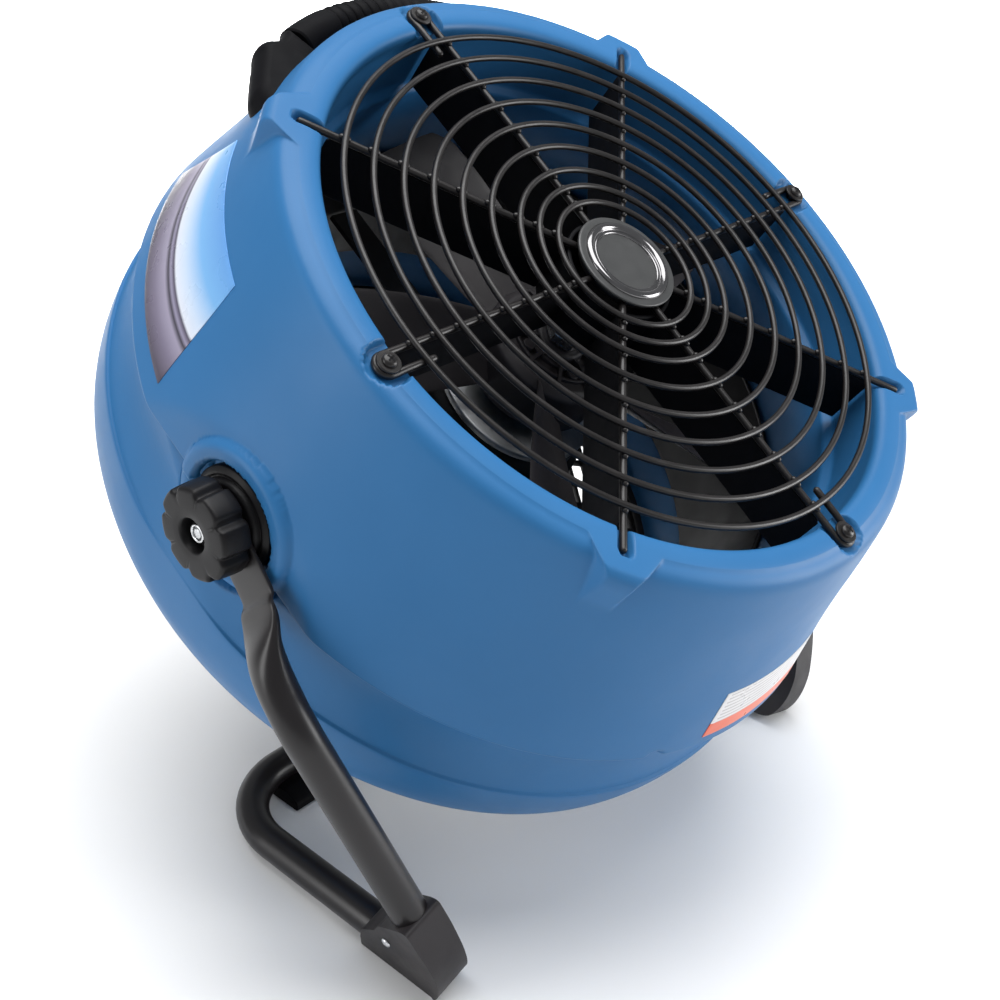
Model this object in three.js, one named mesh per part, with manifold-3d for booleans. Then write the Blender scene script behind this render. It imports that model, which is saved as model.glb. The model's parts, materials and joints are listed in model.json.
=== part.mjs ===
// Axial air mover on a tilting tubular stand.
// Millimetres, +Z up. The floor is z = 0 and the air leaves towards -Y and upwards.
//
// Fan frame: x to the right seen from the outlet, y along the fan axis away from the
// outlet grille, z towards the carrying handle. The fan group is tilted about the pivot.
import * as THREE from 'three';
import { mergeVertices } from 'three/addons/utils/BufferGeometryUtils.js';
import Module from 'manifold-3d';

const wasm = await Module();
wasm.setup();

// ---------------------------------------------------------------- driving dimensions
const TILT = THREE.MathUtils.degToRad(56);    // outlet above the horizon at rest
const PIVOT_HEIGHT = 327;                     // pivot axis above the floor
const PIVOT_PLACE = -17.96;                   // pivot axis, along the floor from the origin
const PIVOT_Y = 145;                          // pivot axis behind the grille plane
const PIVOT_Z = -4;                           // pivot axis below the fan axis
const GAP = 0.3;                              // clearance between touching pieces
const WALL = 4.5;                             // moulded shell wall

const RING_RADII = [200, 180.5, 160.3, 140.1, 120.1, 99.7, 79.1, 65, 51];
const RING_WIRE = 2.3;
const SPOKE_WIRE = 2.6;
const SPOKE_Y = 3.9;
const SCREW_CIRCLE = 224;
const SCREW_OFFSET = 7;                       // screw centre beside its spoke

const DUCT_RADIUS = 203;
const VANE_DEPTH = [7, 49];
const VANE_HUB_RADIUS = 40;
const VANE_OUTER = 209.5;
const HUB_RADIUS = 50;
const BLADE_TIP = 196;
const BLADE_COUNT = 5;
const SHAFT_RADIUS = 8;
const MOTOR_RADIUS = 62;
const DRIVE_FORWARD = 50;                     // motor and propeller, ahead of their own frame

const TUBE_RADIUS = 12.7;                     // one inch stand tube
const TUBE_SIDES = 10;
const TUBE_HEIGHT = 17.1;                     // centre line of the floor run
const FLAT_X = 276;                           // flattened tube end beside the pivot
const ARM_X = 292.5;                          // round part of the arm
const RUN_X = 218;                            // floor run
const SEATING_RADIUS = 34;                    // friction disc

const TURN = 2 * Math.PI;
const QUARTER = Math.PI / 2;

// ---------------------------------------------------------------- materials
const finish = (color, roughness, metalness = 0) =>
  new THREE.MeshStandardMaterial({ color, roughness, metalness });
const BLUE_PLASTIC = finish(0x4d8fc9, 0.55);
const BLACK_PLASTIC = finish(0x1c1c1f, 0.5);
const BLACK_RUBBER = finish(0x17171a, 0.75);
const BLACK_WIRE = finish(0x1b1b1d, 0.35, 0.6);
const BLACK_TUBE = finish(0x2a2627, 0.35, 0.5);
const GREY_PLASTIC = finish(0x3a3a3f, 0.5);
const GREY_METAL = finish(0x6d7075, 0.4, 0.8);
const BRIGHT_STEEL = finish(0xb9bcc0, 0.25, 1);
const PRINTED_FILM = finish(0x9fb4d6, 0.3);

// ---------------------------------------------------------------- solids from geometry
// One closed body: shared vertices, no empty triangles, faces pointing out.
function closed(geometry) {
  const bare = geometry.clone();
  bare.deleteAttribute('normal');
  bare.deleteAttribute('uv');
  const merged = mergeVertices(bare, 1e-3);
  const place = merged.getAttribute('position');
  const index = merged.index.array;
  const corner = [0, 1, 2].map(() => new THREE.Vector3());
  const kept = [];
  let volume = 0;
  for (let i = 0; i < index.length; i += 3) {
    const [a, b, c] = [index[i], index[i + 1], index[i + 2]];
    if (a === b || b === c || c === a) continue;
    kept.push(a, b, c);
    [a, b, c].forEach((vertex, k) => corner[k].fromBufferAttribute(place, vertex));
    volume += corner[0].dot(corner[1].cross(corner[2]));
  }
  if (volume < 0) kept.reverse();
  merged.setIndex(kept);
  return merged;
}

function solidOf(geometry) {
  const shape = closed(geometry);
  return new wasm.Manifold(new wasm.Mesh({
    numProp: 3,
    vertProperties: new Float32Array(shape.getAttribute('position').array),
    triVerts: new Uint32Array(shape.index.array),
  }));
}

function geometryOf(solid) {
  const mesh = solid.getMesh();
  const geometry = new THREE.BufferGeometry();
  geometry.setAttribute('position', new THREE.BufferAttribute(mesh.vertProperties, 3));
  geometry.setIndex(new THREE.BufferAttribute(mesh.triVerts, 1));
  return geometry;
}

const joined = (...list) => geometryOf(list.map(solidOf).reduce((a, b) => a.add(b)));

function cut(geometry, ...tools) {
  return geometryOf(tools.map(solidOf).reduce((a, b) => a.subtract(b), solidOf(geometry)));
}

const common = (a, b) => geometryOf(solidOf(a).intersect(solidOf(b)));

// ---------------------------------------------------------------- basic shapes
// A profile of [radius, y] pairs turned about the fan axis. It is closed along the axis
// where its ends lie on the axis, and on itself otherwise.
function turned(profile, segments) {
  const points = profile.map(([radius, y]) => new THREE.Vector2(radius, y));
  const onAxis = profile[0][0] === 0 && profile.at(-1)[0] === 0;
  if (!onAxis) points.push(points[0].clone());
  return new THREE.LatheGeometry(points, segments);
}

// The same profile turned about an axis along +X.
const turnedX = (profile, segments) => turned(profile, segments).rotateZ(-QUARTER);

function disc(radius, from, to, segments = 16) {
  return turned([[0, from], [radius, from], [radius, to], [0, to]], segments);
}

const discX = (radius, from, to, segments) => disc(radius, from, to, segments).rotateZ(-QUARTER);

function tubeRing(inner, outer, from, to, segments) {
  return turned([[inner, from], [outer, from], [outer, to], [inner, to]], segments);
}

function block([x0, x1], [y0, y1], [z0, z1]) {
  const box = new THREE.BoxGeometry(x1 - x0, y1 - y0, z1 - z0);
  return box.translate((x0 + x1) / 2, (y0 + y1) / 2, (z0 + z1) / 2);
}

// Turns a shape modelled on the +X side of the fan axis to an angle in degrees,
// counter-clockwise seen from the outlet.
const around = (geometry, degrees) => geometry.rotateY(-THREE.MathUtils.degToRad(degrees));

// A round wire between two points.
function wire(from, to, radius, sides = 4) {
  const direction = to.clone().sub(from);
  const rod = new THREE.CylinderGeometry(radius, radius, direction.length(), sides);
  const turn = new THREE.Quaternion().setFromUnitVectors(
    new THREE.Vector3(0, 1, 0), direction.clone().normalize());
  return rod.applyQuaternion(turn).translate(...from.clone().add(to).multiplyScalar(0.5));
}

// A skin over a row of sections, each a loop of points of the same length, with flat ends.
function loft(sections) {
  const count = sections[0].length;
  const points = sections.flat();
  const middle = (loop) => loop.reduce((sum, p) => sum.add(p), new THREE.Vector3())
    .divideScalar(loop.length);
  const index = [];
  for (let s = 0; s + 1 < sections.length; s += 1) {
    for (let k = 0; k < count; k += 1) {
      const a = s * count + k;
      const b = s * count + ((k + 1) % count);
      index.push(a, b, a + count, b, b + count, a + count);
    }
  }
  const firstCap = points.length;
  const lastCap = firstCap + 1;
  const lastLoop = (sections.length - 1) * count;
  points.push(middle(sections[0]), middle(sections.at(-1)));
  for (let k = 0; k < count; k += 1) {
    const next = (k + 1) % count;
    index.push(firstCap, next, k, lastCap, lastLoop + k, lastLoop + next);
  }
  const geometry = new THREE.BufferGeometry().setFromPoints(points);
  geometry.setIndex(index);
  return geometry;
}

// Points of a path through corners, each corner rounded to its own radius.
function roundedPath(corners, stepsPerCorner = 5) {
  const points = [corners[0].at.clone()];
  for (let i = 1; i + 1 < corners.length; i += 1) {
    const { at, radius } = corners[i];
    const back = corners[i - 1].at.clone().sub(at).normalize();
    const ahead = corners[i + 1].at.clone().sub(at).normalize();
    const half = back.angleTo(ahead) / 2;
    const reach = radius / Math.tan(half);
    const start = at.clone().addScaledVector(back, reach);
    const end = at.clone().addScaledVector(ahead, reach);
    const centre = at.clone().addScaledVector(
      back.clone().add(ahead).normalize(), radius / Math.sin(half));
    const spread = Math.PI - 2 * half;
    const fromCentre = start.clone().sub(centre);
    const axis = fromCentre.clone().cross(end.clone().sub(centre)).normalize();
    for (let k = 0; k <= stepsPerCorner; k += 1) {
      const arm = fromCentre.clone().applyAxisAngle(axis, (spread * k) / stepsPerCorner);
      points.push(centre.clone().add(arm));
    }
  }
  points.push(corners.at(-1).at.clone());
  return points;
}

// ---------------------------------------------------------------- model and placing
const machine = new THREE.Group();
const pivot = new THREE.Group();
pivot.position.set(0, PIVOT_PLACE, PIVOT_HEIGHT);
pivot.rotation.x = -TILT;
const fan = new THREE.Group();
fan.position.set(0, -PIVOT_Y, -PIVOT_Z);
const drive = new THREE.Group();
drive.position.set(0, -DRIVE_FORWARD, 0);
fan.add(drive);
pivot.add(fan);
const stand = new THREE.Group();
stand.position.set(0, PIVOT_PLACE, 0);
machine.add(pivot, stand);

function place(group, name, geometry, material) {
  const mesh = new THREE.Mesh(closed(geometry), material);
  mesh.name = name;
  group.add(mesh);
}

const SIDES = [['left', -1], ['right', 1]];
const SCREW_ANGLES = [0, 90, 180, 270];
const TAB_ANGLES = [45, 135, 225, 315];

// ---------------------------------------------------------------- front shell
const FRONT_OUTER = [[224, 1], [234, 2.8], [240, 7], [243, 16], [250, 40], [257.5, 70],
  [266, 100], [276, 130], [284, 155]];
const FRONT_INNER = [[284 - WALL, 155], [271, 130], [251, 70], [233, 15], [222, 6.5], [217, 12],
  [217, 54.5], [211, 58.5], [211, 118]];
const FRONT_DUCT = [[206, 118], [206, 56], [212, 52], [212, 10], [216, 3]];
const SIDE_FLAT = 266;                        // flat beside each pivot, from the fan axis
const COLLAR = { radius: 46, face: 270, floor: 261.7, back: 244 };
const TRAY = { half: 100, from: 20, to: 68, floor: 224 };
const SHELL_SEGMENTS = 36;

// Behind the rim the outer skin is 2 % narrower across the pivots than from top to bottom,
// while the openings round the duct stay round.
function narrowed(geometry) {
  const vertex = geometry.getAttribute('position');
  for (let i = 0; i < vertex.count; i += 1) {
    const depth = THREE.MathUtils.smoothstep(vertex.getY(i), 90, 200);
    const radius = Math.hypot(vertex.getX(i), vertex.getZ(i));
    const share = depth * THREE.MathUtils.smoothstep(radius, 214, 242);
    vertex.setX(i, vertex.getX(i) * (1 - 0.02 * share));
  }
  return geometry;
}

const bothSides = (make) => SIDES.map(([, side]) => make().scale(side, 1, 1));
const atPivot = (geometry) => geometry.translate(0, PIVOT_Y, PIVOT_Z);

function rimTab() {
  const side = new THREE.Shape();
  side.moveTo(18, 226);
  [[18, 238], [9, 251], [-9, 251], [-18, 238], [-18, 226]].forEach(([z, r]) => {
    side.lineTo(z, r);
  });
  const plan = new THREE.ExtrudeGeometry(side, { depth: 50, bevelEnabled: false });
  const flank = new THREE.Shape();
  flank.moveTo(226, 2);
  [[246, 3], [250, 6], [251, 10], [246, 52], [226, 52]].forEach(([r, y]) => {
    flank.lineTo(r, y);
  });
  const wide = new THREE.ExtrudeGeometry(flank, { depth: 44, bevelEnabled: false });
  return common(plan.rotateX(-QUARTER).rotateY(QUARTER).translate(0, 52, 0),
    wide.translate(0, 0, -22));
}

function frontShell() {
  const add = (a, b) => a.add(solidOf(b));
  const remove = (a, b) => a.subtract(solidOf(b));
  const skin = narrowed(turned([...FRONT_DUCT, ...FRONT_OUTER, ...FRONT_INNER], SHELL_SEGMENTS));
  const full = narrowed(turned([[0, 1], ...FRONT_OUTER, [0, 155]], SHELL_SEGMENTS));
  const hollow = narrowed(turned([...FRONT_INNER, [211, 155]], SHELL_SEGMENTS));
  const tray = block([-TRAY.half - WALL, TRAY.half + WALL], [TRAY.from - WALL, TRAY.to + WALL],
    [TRAY.floor - WALL, 300]);
  const flatWall = () => block([SIDE_FLAT - WALL, SIDE_FLAT], [96, 155], [-100, 100]);
  const tabbed = TAB_ANGLES.map((angle) => around(rimTab(), angle)).reduce(add, solidOf(skin));
  const walled = [common(tray, full), ...bothSides(() => common(flatWall(), full))]
    .reduce(add, remove(tabbed, hollow));
  const relieved = [
    ...bothSides(() => block([SIDE_FLAT, 300], [60, 170], [-130, 130])),
    block([-TRAY.half, TRAY.half], [TRAY.from, TRAY.to], [TRAY.floor, 300]),
  ].reduce(remove, walled);
  const collared = bothSides(() => atPivot(discX(COLLAR.radius, COLLAR.back, COLLAR.face, 24)))
    .reduce(add, relieved);
  const openings = [
    ...bothSides(() => atPivot(discX(SEATING_RADIUS + 2.5, COLLAR.floor, 300, 24))),
    ...bothSides(() => atPivot(discX(5.6, 200, 300, 12))),
    ...TAB_ANGLES.map((angle) => around(block([205, 233], [-5, 8.5], [-4.5, 4.5]), angle)),
    ...SCREW_ANGLES.map((angle) => around(
      disc(14, -6, 6.8, 12).translate(SCREW_CIRCLE - 1, 0, SCREW_OFFSET), angle)),
    ...SCREW_ANGLES.map((angle) => around(block([205, 223], [-6, 6.8], [-7, 17]), angle)),
    ...SCREW_ANGLES.map((angle) => around(
      disc(3.2, -6, 30, 8).translate(SCREW_CIRCLE, 0, SCREW_OFFSET), angle)),
  ];
  return geometryOf(openings.reduce(remove, collared));
}
place(fan, 'front_shell', frontShell(), BLUE_PLASTIC);

// ---------------------------------------------------------------- rear shell
const REAR_OUTER = [[275, 146], [277, 155.5], [274, 162], [274.5, 178], [279, 200], [284.5, 220],
  [284.8, 240], [282, 258], [276, 272], [268, 286], [256, 300], [243, 309], [228, 315.5],
  [214, 316]];
const REAR_MOUTH = [[206.5, 313], [205, 307], [205, 236], [209, 236], [209.5, 305], [214, 311.5]];
const REAR_INNER = [[227, 311], [241, 304.5], [253, 296], [264, 283.5], [272, 270], [277.5, 256.5],
  [281, 240], [280.5, 221], [274.5, 201], [270, 178.5], [270.5, 146]];
const PANEL = { half: 40, from: 224, to: 264, top: 286, window: 4 };
const REAR_SCREWS = { radius: 243, y: 301.5, angles: [30, 150, 210, 330] };

function rearShell() {
  const add = (a, b) => a.add(solidOf(b));
  const remove = (a, b) => a.subtract(solidOf(b));
  const skin = narrowed(turned([...REAR_OUTER, ...REAR_MOUTH, ...REAR_INNER], SHELL_SEGMENTS));
  const pad = block([-PANEL.half, PANEL.half], [PANEL.from, PANEL.to], [271, PANEL.top]);
  const openings = [
    ...bothSides(() => block([240, 300], [140, 156], [-112, 112])),
    block([-PANEL.half + PANEL.window, PANEL.half - PANEL.window],
      [PANEL.from + PANEL.window, PANEL.to - PANEL.window], [230, 300]),
    ...bothSides(() => atPivot(discX(COLLAR.radius + 1.5, 200, 300, 24))),
    around(disc(9.4, 230, 330, 12).translate(236, 0, 0), 75),
    ...REAR_SCREWS.angles.map((angle) => around(
      disc(3.4, 230, 320, 8).translate(REAR_SCREWS.radius, 0, 0), angle)),
    ...REAR_SCREWS.angles.map((angle) => around(
      disc(7, REAR_SCREWS.y + 5, 320, 10).translate(REAR_SCREWS.radius, 0, 0), angle)),
  ];
  return geometryOf(openings.reduce(remove, add(solidOf(skin), pad)));
}
place(fan, 'rear_shell', rearShell(), BLUE_PLASTIC);

// ---------------------------------------------------------------- duct and straightening vanes
place(fan, 'duct_ring', tubeRing(DUCT_RADIUS, 206, 118.5, 235.5, 32), BLACK_PLASTIC);

const [VANE_FRONT, VANE_BACK] = VANE_DEPTH;
place(fan, 'vane_hub', turned([[0, VANE_BACK - 3], [VANE_HUB_RADIUS - 3, VANE_BACK - 3],
  [VANE_HUB_RADIUS - 3, VANE_FRONT], [VANE_HUB_RADIUS, VANE_FRONT], [VANE_HUB_RADIUS, VANE_BACK],
  [0, VANE_BACK]], 24), BLACK_PLASTIC);
for (let i = 0; i < 8; i += 1) {
  const vane = block([VANE_HUB_RADIUS + GAP, VANE_OUTER], VANE_DEPTH, [-1, 1]);
  place(fan, `straightening_vane_${i + 1}`, around(vane, i * 45), BLACK_PLASTIC);
}

// ---------------------------------------------------------------- outlet grille
const DOME = 0.4;                             // the inner rings stand a little proud

function grilleRing(radius) {
  const lift = DOME * (1 - (radius / RING_RADII[0]) ** 2);
  const ring = new THREE.TorusGeometry(radius, RING_WIRE, 4, Math.round(11 + radius / 13));
  return ring.rotateX(QUARTER).translate(0, -lift, 0);
}

const spokePoint = (radius, side = 0) => new THREE.Vector3(radius, SPOKE_Y, side);

function loopedSpoke() {
  const eye = new THREE.TorusGeometry(SCREW_OFFSET, SPOKE_WIRE - 0.4, 4, 10).rotateX(QUARTER)
    .translate(SCREW_CIRCLE, SPOKE_Y, SCREW_OFFSET);
  return [
    wire(spokePoint(28), spokePoint(SCREW_CIRCLE), SPOKE_WIRE),
    eye,
    wire(spokePoint(RING_RADII[0] - 1, 2 * SCREW_OFFSET - 2),
      spokePoint(SCREW_CIRCLE, 2 * SCREW_OFFSET), SPOKE_WIRE - 0.4),
  ];
}

function outletGrille() {
  const spokes = SCREW_ANGLES.flatMap((angle) => loopedSpoke().map((p) => around(p, angle)));
  const bars = TAB_ANGLES.map((angle) => around(
    wire(spokePoint(28), spokePoint(230), SPOKE_WIRE), angle));
  return joined(...RING_RADII.map(grilleRing), ...spokes, ...bars,
    disc(32, SPOKE_Y - 1.2, SPOKE_Y + 1.2, 16));
}
place(fan, 'outlet_grille', outletGrille(), BLACK_WIRE);

place(fan, 'grille_hub_plate', turned([[0, -2.2], [26, -2.2], [28.5, -5], [33, -5], [37, -1],
  [37, 1], [0, 1]], 28), GREY_METAL);

function panScrew(headRadius, headHeight, shankRadius, length, segments = 10) {
  return turned([[0, -headHeight], [headRadius * 0.6, -headHeight], [headRadius, -headHeight * 0.4],
    [headRadius, 0], [shankRadius, 0], [shankRadius, length], [0, length]], segments);
}
SCREW_ANGLES.forEach((angle, i) => {
  const screw = panScrew(8, 4, 2.8, 20).translate(SCREW_CIRCLE, SPOKE_Y - SPOKE_WIRE - 0.2,
    SCREW_OFFSET);
  place(fan, `grille_screw_${i + 1}`, around(screw, angle), BLACK_WIRE);
});

// ---------------------------------------------------------------- propeller and motor
const HUB = { front: 128, back: 176, web: 134, bore: SHAFT_RADIUS + GAP };

// One blade section: a thin lens, pitched about the radial line.
function bladeSection(radius) {
  const share = Math.max((radius - HUB_RADIUS) / (BLADE_TIP - HUB_RADIUS), 0);
  const pitch = THREE.MathUtils.degToRad(THREE.MathUtils.lerp(42, 20, share));
  const chord = THREE.MathUtils.lerp(46, 80, Math.sin(share * 0.8 * Math.PI / 2) ** 0.8);
  const sweep = 14 * share ** 2;
  const outline = [[-0.5, 0], [-0.2, 2], [0.15, 2.2], [0.5, 0.5], [0.5, -0.5], [0.15, -1.6],
    [-0.2, -1.8]];
  return outline.map(([along, thick]) => {
    const a = along * chord;
    const across = a * Math.cos(pitch) - thick * Math.sin(pitch) + sweep;
    const deep = a * Math.sin(pitch) + thick * Math.cos(pitch);
    return new THREE.Vector3(Math.sqrt(radius ** 2 - across ** 2), 152 + deep, across);
  });
}

function propeller() {
  const hub = turned([[HUB.bore, HUB.front + 2], [20, HUB.front + 2], [20, HUB.web], [46, HUB.web],
    [HUB_RADIUS, HUB.web + 5], [HUB_RADIUS, HUB.back], [HUB_RADIUS - 4, HUB.back],
    [HUB_RADIUS - 4, HUB.web + 7], [20, HUB.web + 7], [20, HUB.back - 8],
    [HUB.bore, HUB.back - 8]], 30);
  const radii = [HUB_RADIUS - 3, 90, 130, 165, BLADE_TIP];
  const blades = Array.from({ length: BLADE_COUNT }, (_, i) => around(
    loft(radii.map(bladeSection)), (i * 360) / BLADE_COUNT + 12));
  return joined(hub, ...blades);
}
place(drive, 'propeller', propeller(), GREY_PLASTIC);
place(drive, 'motor_shaft', disc(SHAFT_RADIUS, 122, 282, 16), BRIGHT_STEEL);
place(drive, 'propeller_nut', cut(disc(15, 121, 129.6, 6), disc(SHAFT_RADIUS + GAP, 110, 140)),
  BRIGHT_STEEL);
place(drive, 'rotor_core', tubeRing(SHAFT_RADIUS + GAP, 36, 210, 250, 20), GREY_METAL);

const SEAT = 17;                              // bearing outer radius
place(drive, 'stator_can', tubeRing(37, MOTOR_RADIUS, 198, 262, 28), BLACK_PLASTIC);
place(drive, 'front_end_shield', turned([[SEAT + GAP, 185], [26, 185], [40, 190],
  [MOTOR_RADIUS, 192], [MOTOR_RADIUS, 197.7], [SEAT + GAP, 197.7]], 24), GREY_METAL);
place(drive, 'rear_end_shield', turned([[SEAT + GAP, 262.3], [MOTOR_RADIUS, 262.3],
  [MOTOR_RADIUS, 268], [40, 270], [26, 275], [SEAT + GAP, 275]], 24), GREY_METAL);
place(drive, 'front_bearing', tubeRing(SHAFT_RADIUS + GAP, SEAT, 186, 197, 16), BRIGHT_STEEL);
place(drive, 'rear_bearing', tubeRing(SHAFT_RADIUS + GAP, SEAT, 263, 274, 16), BRIGHT_STEEL);

const MOUNT = { inner: MOTOR_RADIUS + GAP, outer: 68, from: 218, to: 242, arm: 200.8 };
function motorMount() {
  const ring = tubeRing(MOUNT.inner, MOUNT.outer, MOUNT.from, MOUNT.to, 28);
  const arms = SCREW_ANGLES.map((angle) => around(
    block([MOUNT.outer - 2, MOUNT.arm], [228, 232], [-13, 13]), angle));
  return joined(ring, ...arms);
}
place(drive, 'motor_mount', motorMount(), BLACK_PLASTIC);
place(drive, 'run_capacitor', around(disc(15, 204, 256, 12).translate(84.5, 0, 0), 45),
  BLACK_PLASTIC);

// ---------------------------------------------------------------- inlet grille
const INLET = { from: 284, to: 290, bar: 7, pitch: 24, rim: 203.6, turn: 62 };

function inletGrille() {
  const rows = Math.floor((INLET.rim - 10) / INLET.pitch);
  const bars = [];
  for (let row = -rows; row <= rows; row += 1) {
    const z = row * INLET.pitch;
    const half = Math.sqrt((INLET.rim - 4) ** 2 - z ** 2);
    bars.push(block([-half, half], [INLET.from + 1, INLET.to - 1],
      [z - INLET.bar / 2, z + INLET.bar / 2]));
  }
  const posts = [-100, 0, 100].map((x) => {
    const half = Math.sqrt((INLET.rim - 4) ** 2 - x ** 2);
    return block([x - 4, x + 4], [INLET.from, INLET.to], [-half, half]);
  });
  const rim = tubeRing(INLET.rim - 9, INLET.rim, INLET.from - 2, INLET.to + 2, 32);
  return joined(rim, disc(44, INLET.from - 0.5, INLET.to + 0.5, 20),
    ...[...posts, ...bars].map((bar) => around(bar, INLET.turn)));
}
place(fan, 'inlet_grille', inletGrille(), BLACK_PLASTIC);
REAR_SCREWS.angles.forEach((angle, i) => {
  const screw = panScrew(6, 3.5, 3, 24).scale(1, -1, 1).translate(REAR_SCREWS.radius,
    REAR_SCREWS.y + 5.3, 0);
  place(fan, `shell_screw_${i + 1}`, around(screw, angle), BRIGHT_STEEL);
});

// ---------------------------------------------------------------- controls
const onPad = PANEL.top + GAP;
const SWITCH = { x: -14, y: 244, half: [11, 7.5] };
const BUTTON = { x: 22, y: 244, radius: 5 };

function controlPlate() {
  const plate = block([-PANEL.half + 1, PANEL.half - 1], [PANEL.from + 1, PANEL.to - 1],
    [onPad, onPad + 2.5]);
  const [sx, sy] = SWITCH.half;
  const switchBody = block([SWITCH.x - sx - 2, SWITCH.x + sx + 2],
    [SWITCH.y - sy - 2, SWITCH.y + sy + 2], [262, onPad + 1]);
  const breakerBody = disc(9, 262, onPad + 1, 12).rotateX(QUARTER)
    .translate(BUTTON.x, BUTTON.y, 0);
  const switchWell = block([SWITCH.x - sx, SWITCH.x + sx], [SWITCH.y - sy, SWITCH.y + sy],
    [268, 300]);
  const buttonWell = disc(BUTTON.radius + 0.4, 266, 300, 12).rotateX(QUARTER)
    .translate(BUTTON.x, BUTTON.y, 0);
  return cut(joined(plate, switchBody, breakerBody), switchWell, buttonWell);
}
place(fan, 'control_plate', controlPlate(), BLACK_PLASTIC);

// The rocker turns about a line across the fan, its crest standing out of the plate.
const ROCKER_AXIS_Z = onPad - 4;
function rocker() {
  const side = new THREE.Shape();
  side.moveTo(-10, 0);
  [[-10, 6], [0, 8.5], [10, 6], [10, 0], [4, -8], [-4, -8]].forEach(([x, z]) => {
    side.lineTo(x, z);
  });
  const body = new THREE.ExtrudeGeometry(side, { depth: 13.6, bevelEnabled: false });
  return body.rotateX(QUARTER).translate(SWITCH.x, SWITCH.y + 6.8, ROCKER_AXIS_Z);
}
place(fan, 'speed_rocker', rocker(), BLACK_PLASTIC);
place(fan, 'breaker_button', disc(BUTTON.radius, 270, onPad + 7, 12).rotateX(QUARTER)
  .translate(BUTTON.x, BUTTON.y, 0), BLACK_PLASTIC);
place(fan, 'cord_gland', around(turned([[4.2, 306], [9, 306], [9, 316.4], [14, 316.4],
  [14, 321], [10, 325], [10, 333], [4.2, 333]], 12).translate(236, 0, 0), 75), BLACK_PLASTIC);

// ---------------------------------------------------------------- carrying handle
const HANDLE = { y: 44, crown: 267, shoulder: 245.3, bar: 5, grip: 13 };

function handlePath(fromX, toX) {
  const arch = (x) => HANDLE.crown - (HANDLE.crown - HANDLE.shoulder) * (x / 90) ** 2;
  const points = [];
  for (let k = 0; k <= 10; k += 1) {
    const x = fromX + ((toX - fromX) * k) / 10;
    points.push(new THREE.Vector3(x, HANDLE.y, arch(x)));
  }
  return new THREE.CatmullRomCurve3(points);
}

function ringOutline(outer, inner, segments = 8) {
  const shape = new THREE.Shape(new THREE.Path().absarc(0, 0, outer, 0, TURN).getPoints(segments)
    .slice(0, -1));
  if (inner) {
    shape.holes.push(new THREE.Path(new THREE.Path().absarc(0, 0, inner, 0, TURN)
      .getPoints(segments).slice(0, -1)));
  }
  return shape;
}

const grip = new THREE.ExtrudeGeometry(ringOutline(HANDLE.grip, HANDLE.bar + 4 * GAP), {
  steps: 8, extrudePath: handlePath(-80, 80), bevelEnabled: false });
place(fan, 'handle_grip', grip, BLACK_RUBBER);
place(fan, 'handle_bar', new THREE.ExtrudeGeometry(ringOutline(HANDLE.bar), {
  steps: 8, extrudePath: handlePath(-100, 100), bevelEnabled: false }), GREY_METAL);

function handleBoot() {
  const side = new THREE.Shape();
  side.moveTo(75.6, 234.5);
  [[86, 260], [99, 252.3], [108, 252.5], [116, 250], [121, 244], [134, 229], [147, 211], [148, 200],
    [84, 222]].forEach(([x, z]) => {
    side.lineTo(x, z);
  });
  const boot = new THREE.ExtrudeGeometry(side, { depth: 30, bevelEnabled: false })
    .rotateX(QUARTER).translate(0, HANDLE.y + 15, 0);
  const shell = narrowed(turned([[0, 1], ...FRONT_OUTER.map(([r, y]) => [r + GAP, y]), [0, 155]],
    SHELL_SEGMENTS));
  const socket = new THREE.ExtrudeGeometry(ringOutline(HANDLE.bar + 3 * GAP), {
    steps: 4, extrudePath: handlePath(72, 101), bevelEnabled: false });
  return cut(boot, shell, socket);
}
SIDES.forEach(([name, side]) => {
  place(fan, `handle_boot_${name}`, handleBoot().scale(side, 1, 1), BLACK_RUBBER);
});

// ---------------------------------------------------------------- printed panels on the shell
// A thin film that follows the shell between two angles and two depths.
function film(fromAngle, toAngle, fromY, toY, lift, thickness) {
  const radiusAt = (y) => {
    const k = FRONT_OUTER.findIndex(([, at]) => at >= y);
    const [[r0, y0], [r1, y1]] = [FRONT_OUTER[k - 1], FRONT_OUTER[k]];
    return THREE.MathUtils.mapLinear(y, y0, y1, r0, r1);
  };
  const ring = (y) => [radiusAt(y) + lift, y];
  const inside = [fromY, 70, 100, 130, toY].filter((y) => y >= fromY && y <= toY).map(ring);
  const profile = [...inside, ...inside.map(([r, y]) => [r + thickness, y]).reverse()];
  const whole = narrowed(turned(profile, SHELL_SEGMENTS));
  return common(whole, sectorPrism(fromAngle, toAngle));
}

// A sector of a large cylinder about the fan axis, as a prism.
function sectorPrism(fromAngle, toAngle) {
  const sector = new THREE.Shape();
  const reach = 420;
  sector.moveTo(0, 0);
  [fromAngle, (fromAngle + toAngle) / 2, toAngle].forEach((degrees) => {
    const a = THREE.MathUtils.degToRad(degrees);
    sector.lineTo(reach * Math.cos(a), reach * Math.sin(a));
  });
  return new THREE.ExtrudeGeometry(sector, { depth: 300, bevelEnabled: false })
    .rotateX(QUARTER).translate(0, 300, 0);
}
place(fan, 'side_decal', film(130, 159.5, 56, 140, GAP, 0.8), PRINTED_FILM);
place(fan, 'rating_label', film(256, 280, 104, 142, GAP, 0.8), PRINTED_FILM);

// ---------------------------------------------------------------- pivots and knobs
const KNOB = { from: 278.3, to: 299, radius: 31, lobes: 8 };

function frictionDisc() {
  return turnedX([[5.8, COLLAR.floor + GAP], [SEATING_RADIUS, COLLAR.floor + GAP],
    [SEATING_RADIUS, 271], [SEATING_RADIUS - 2, 273.7], [5.8, 273.7]], 24);
}

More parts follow.
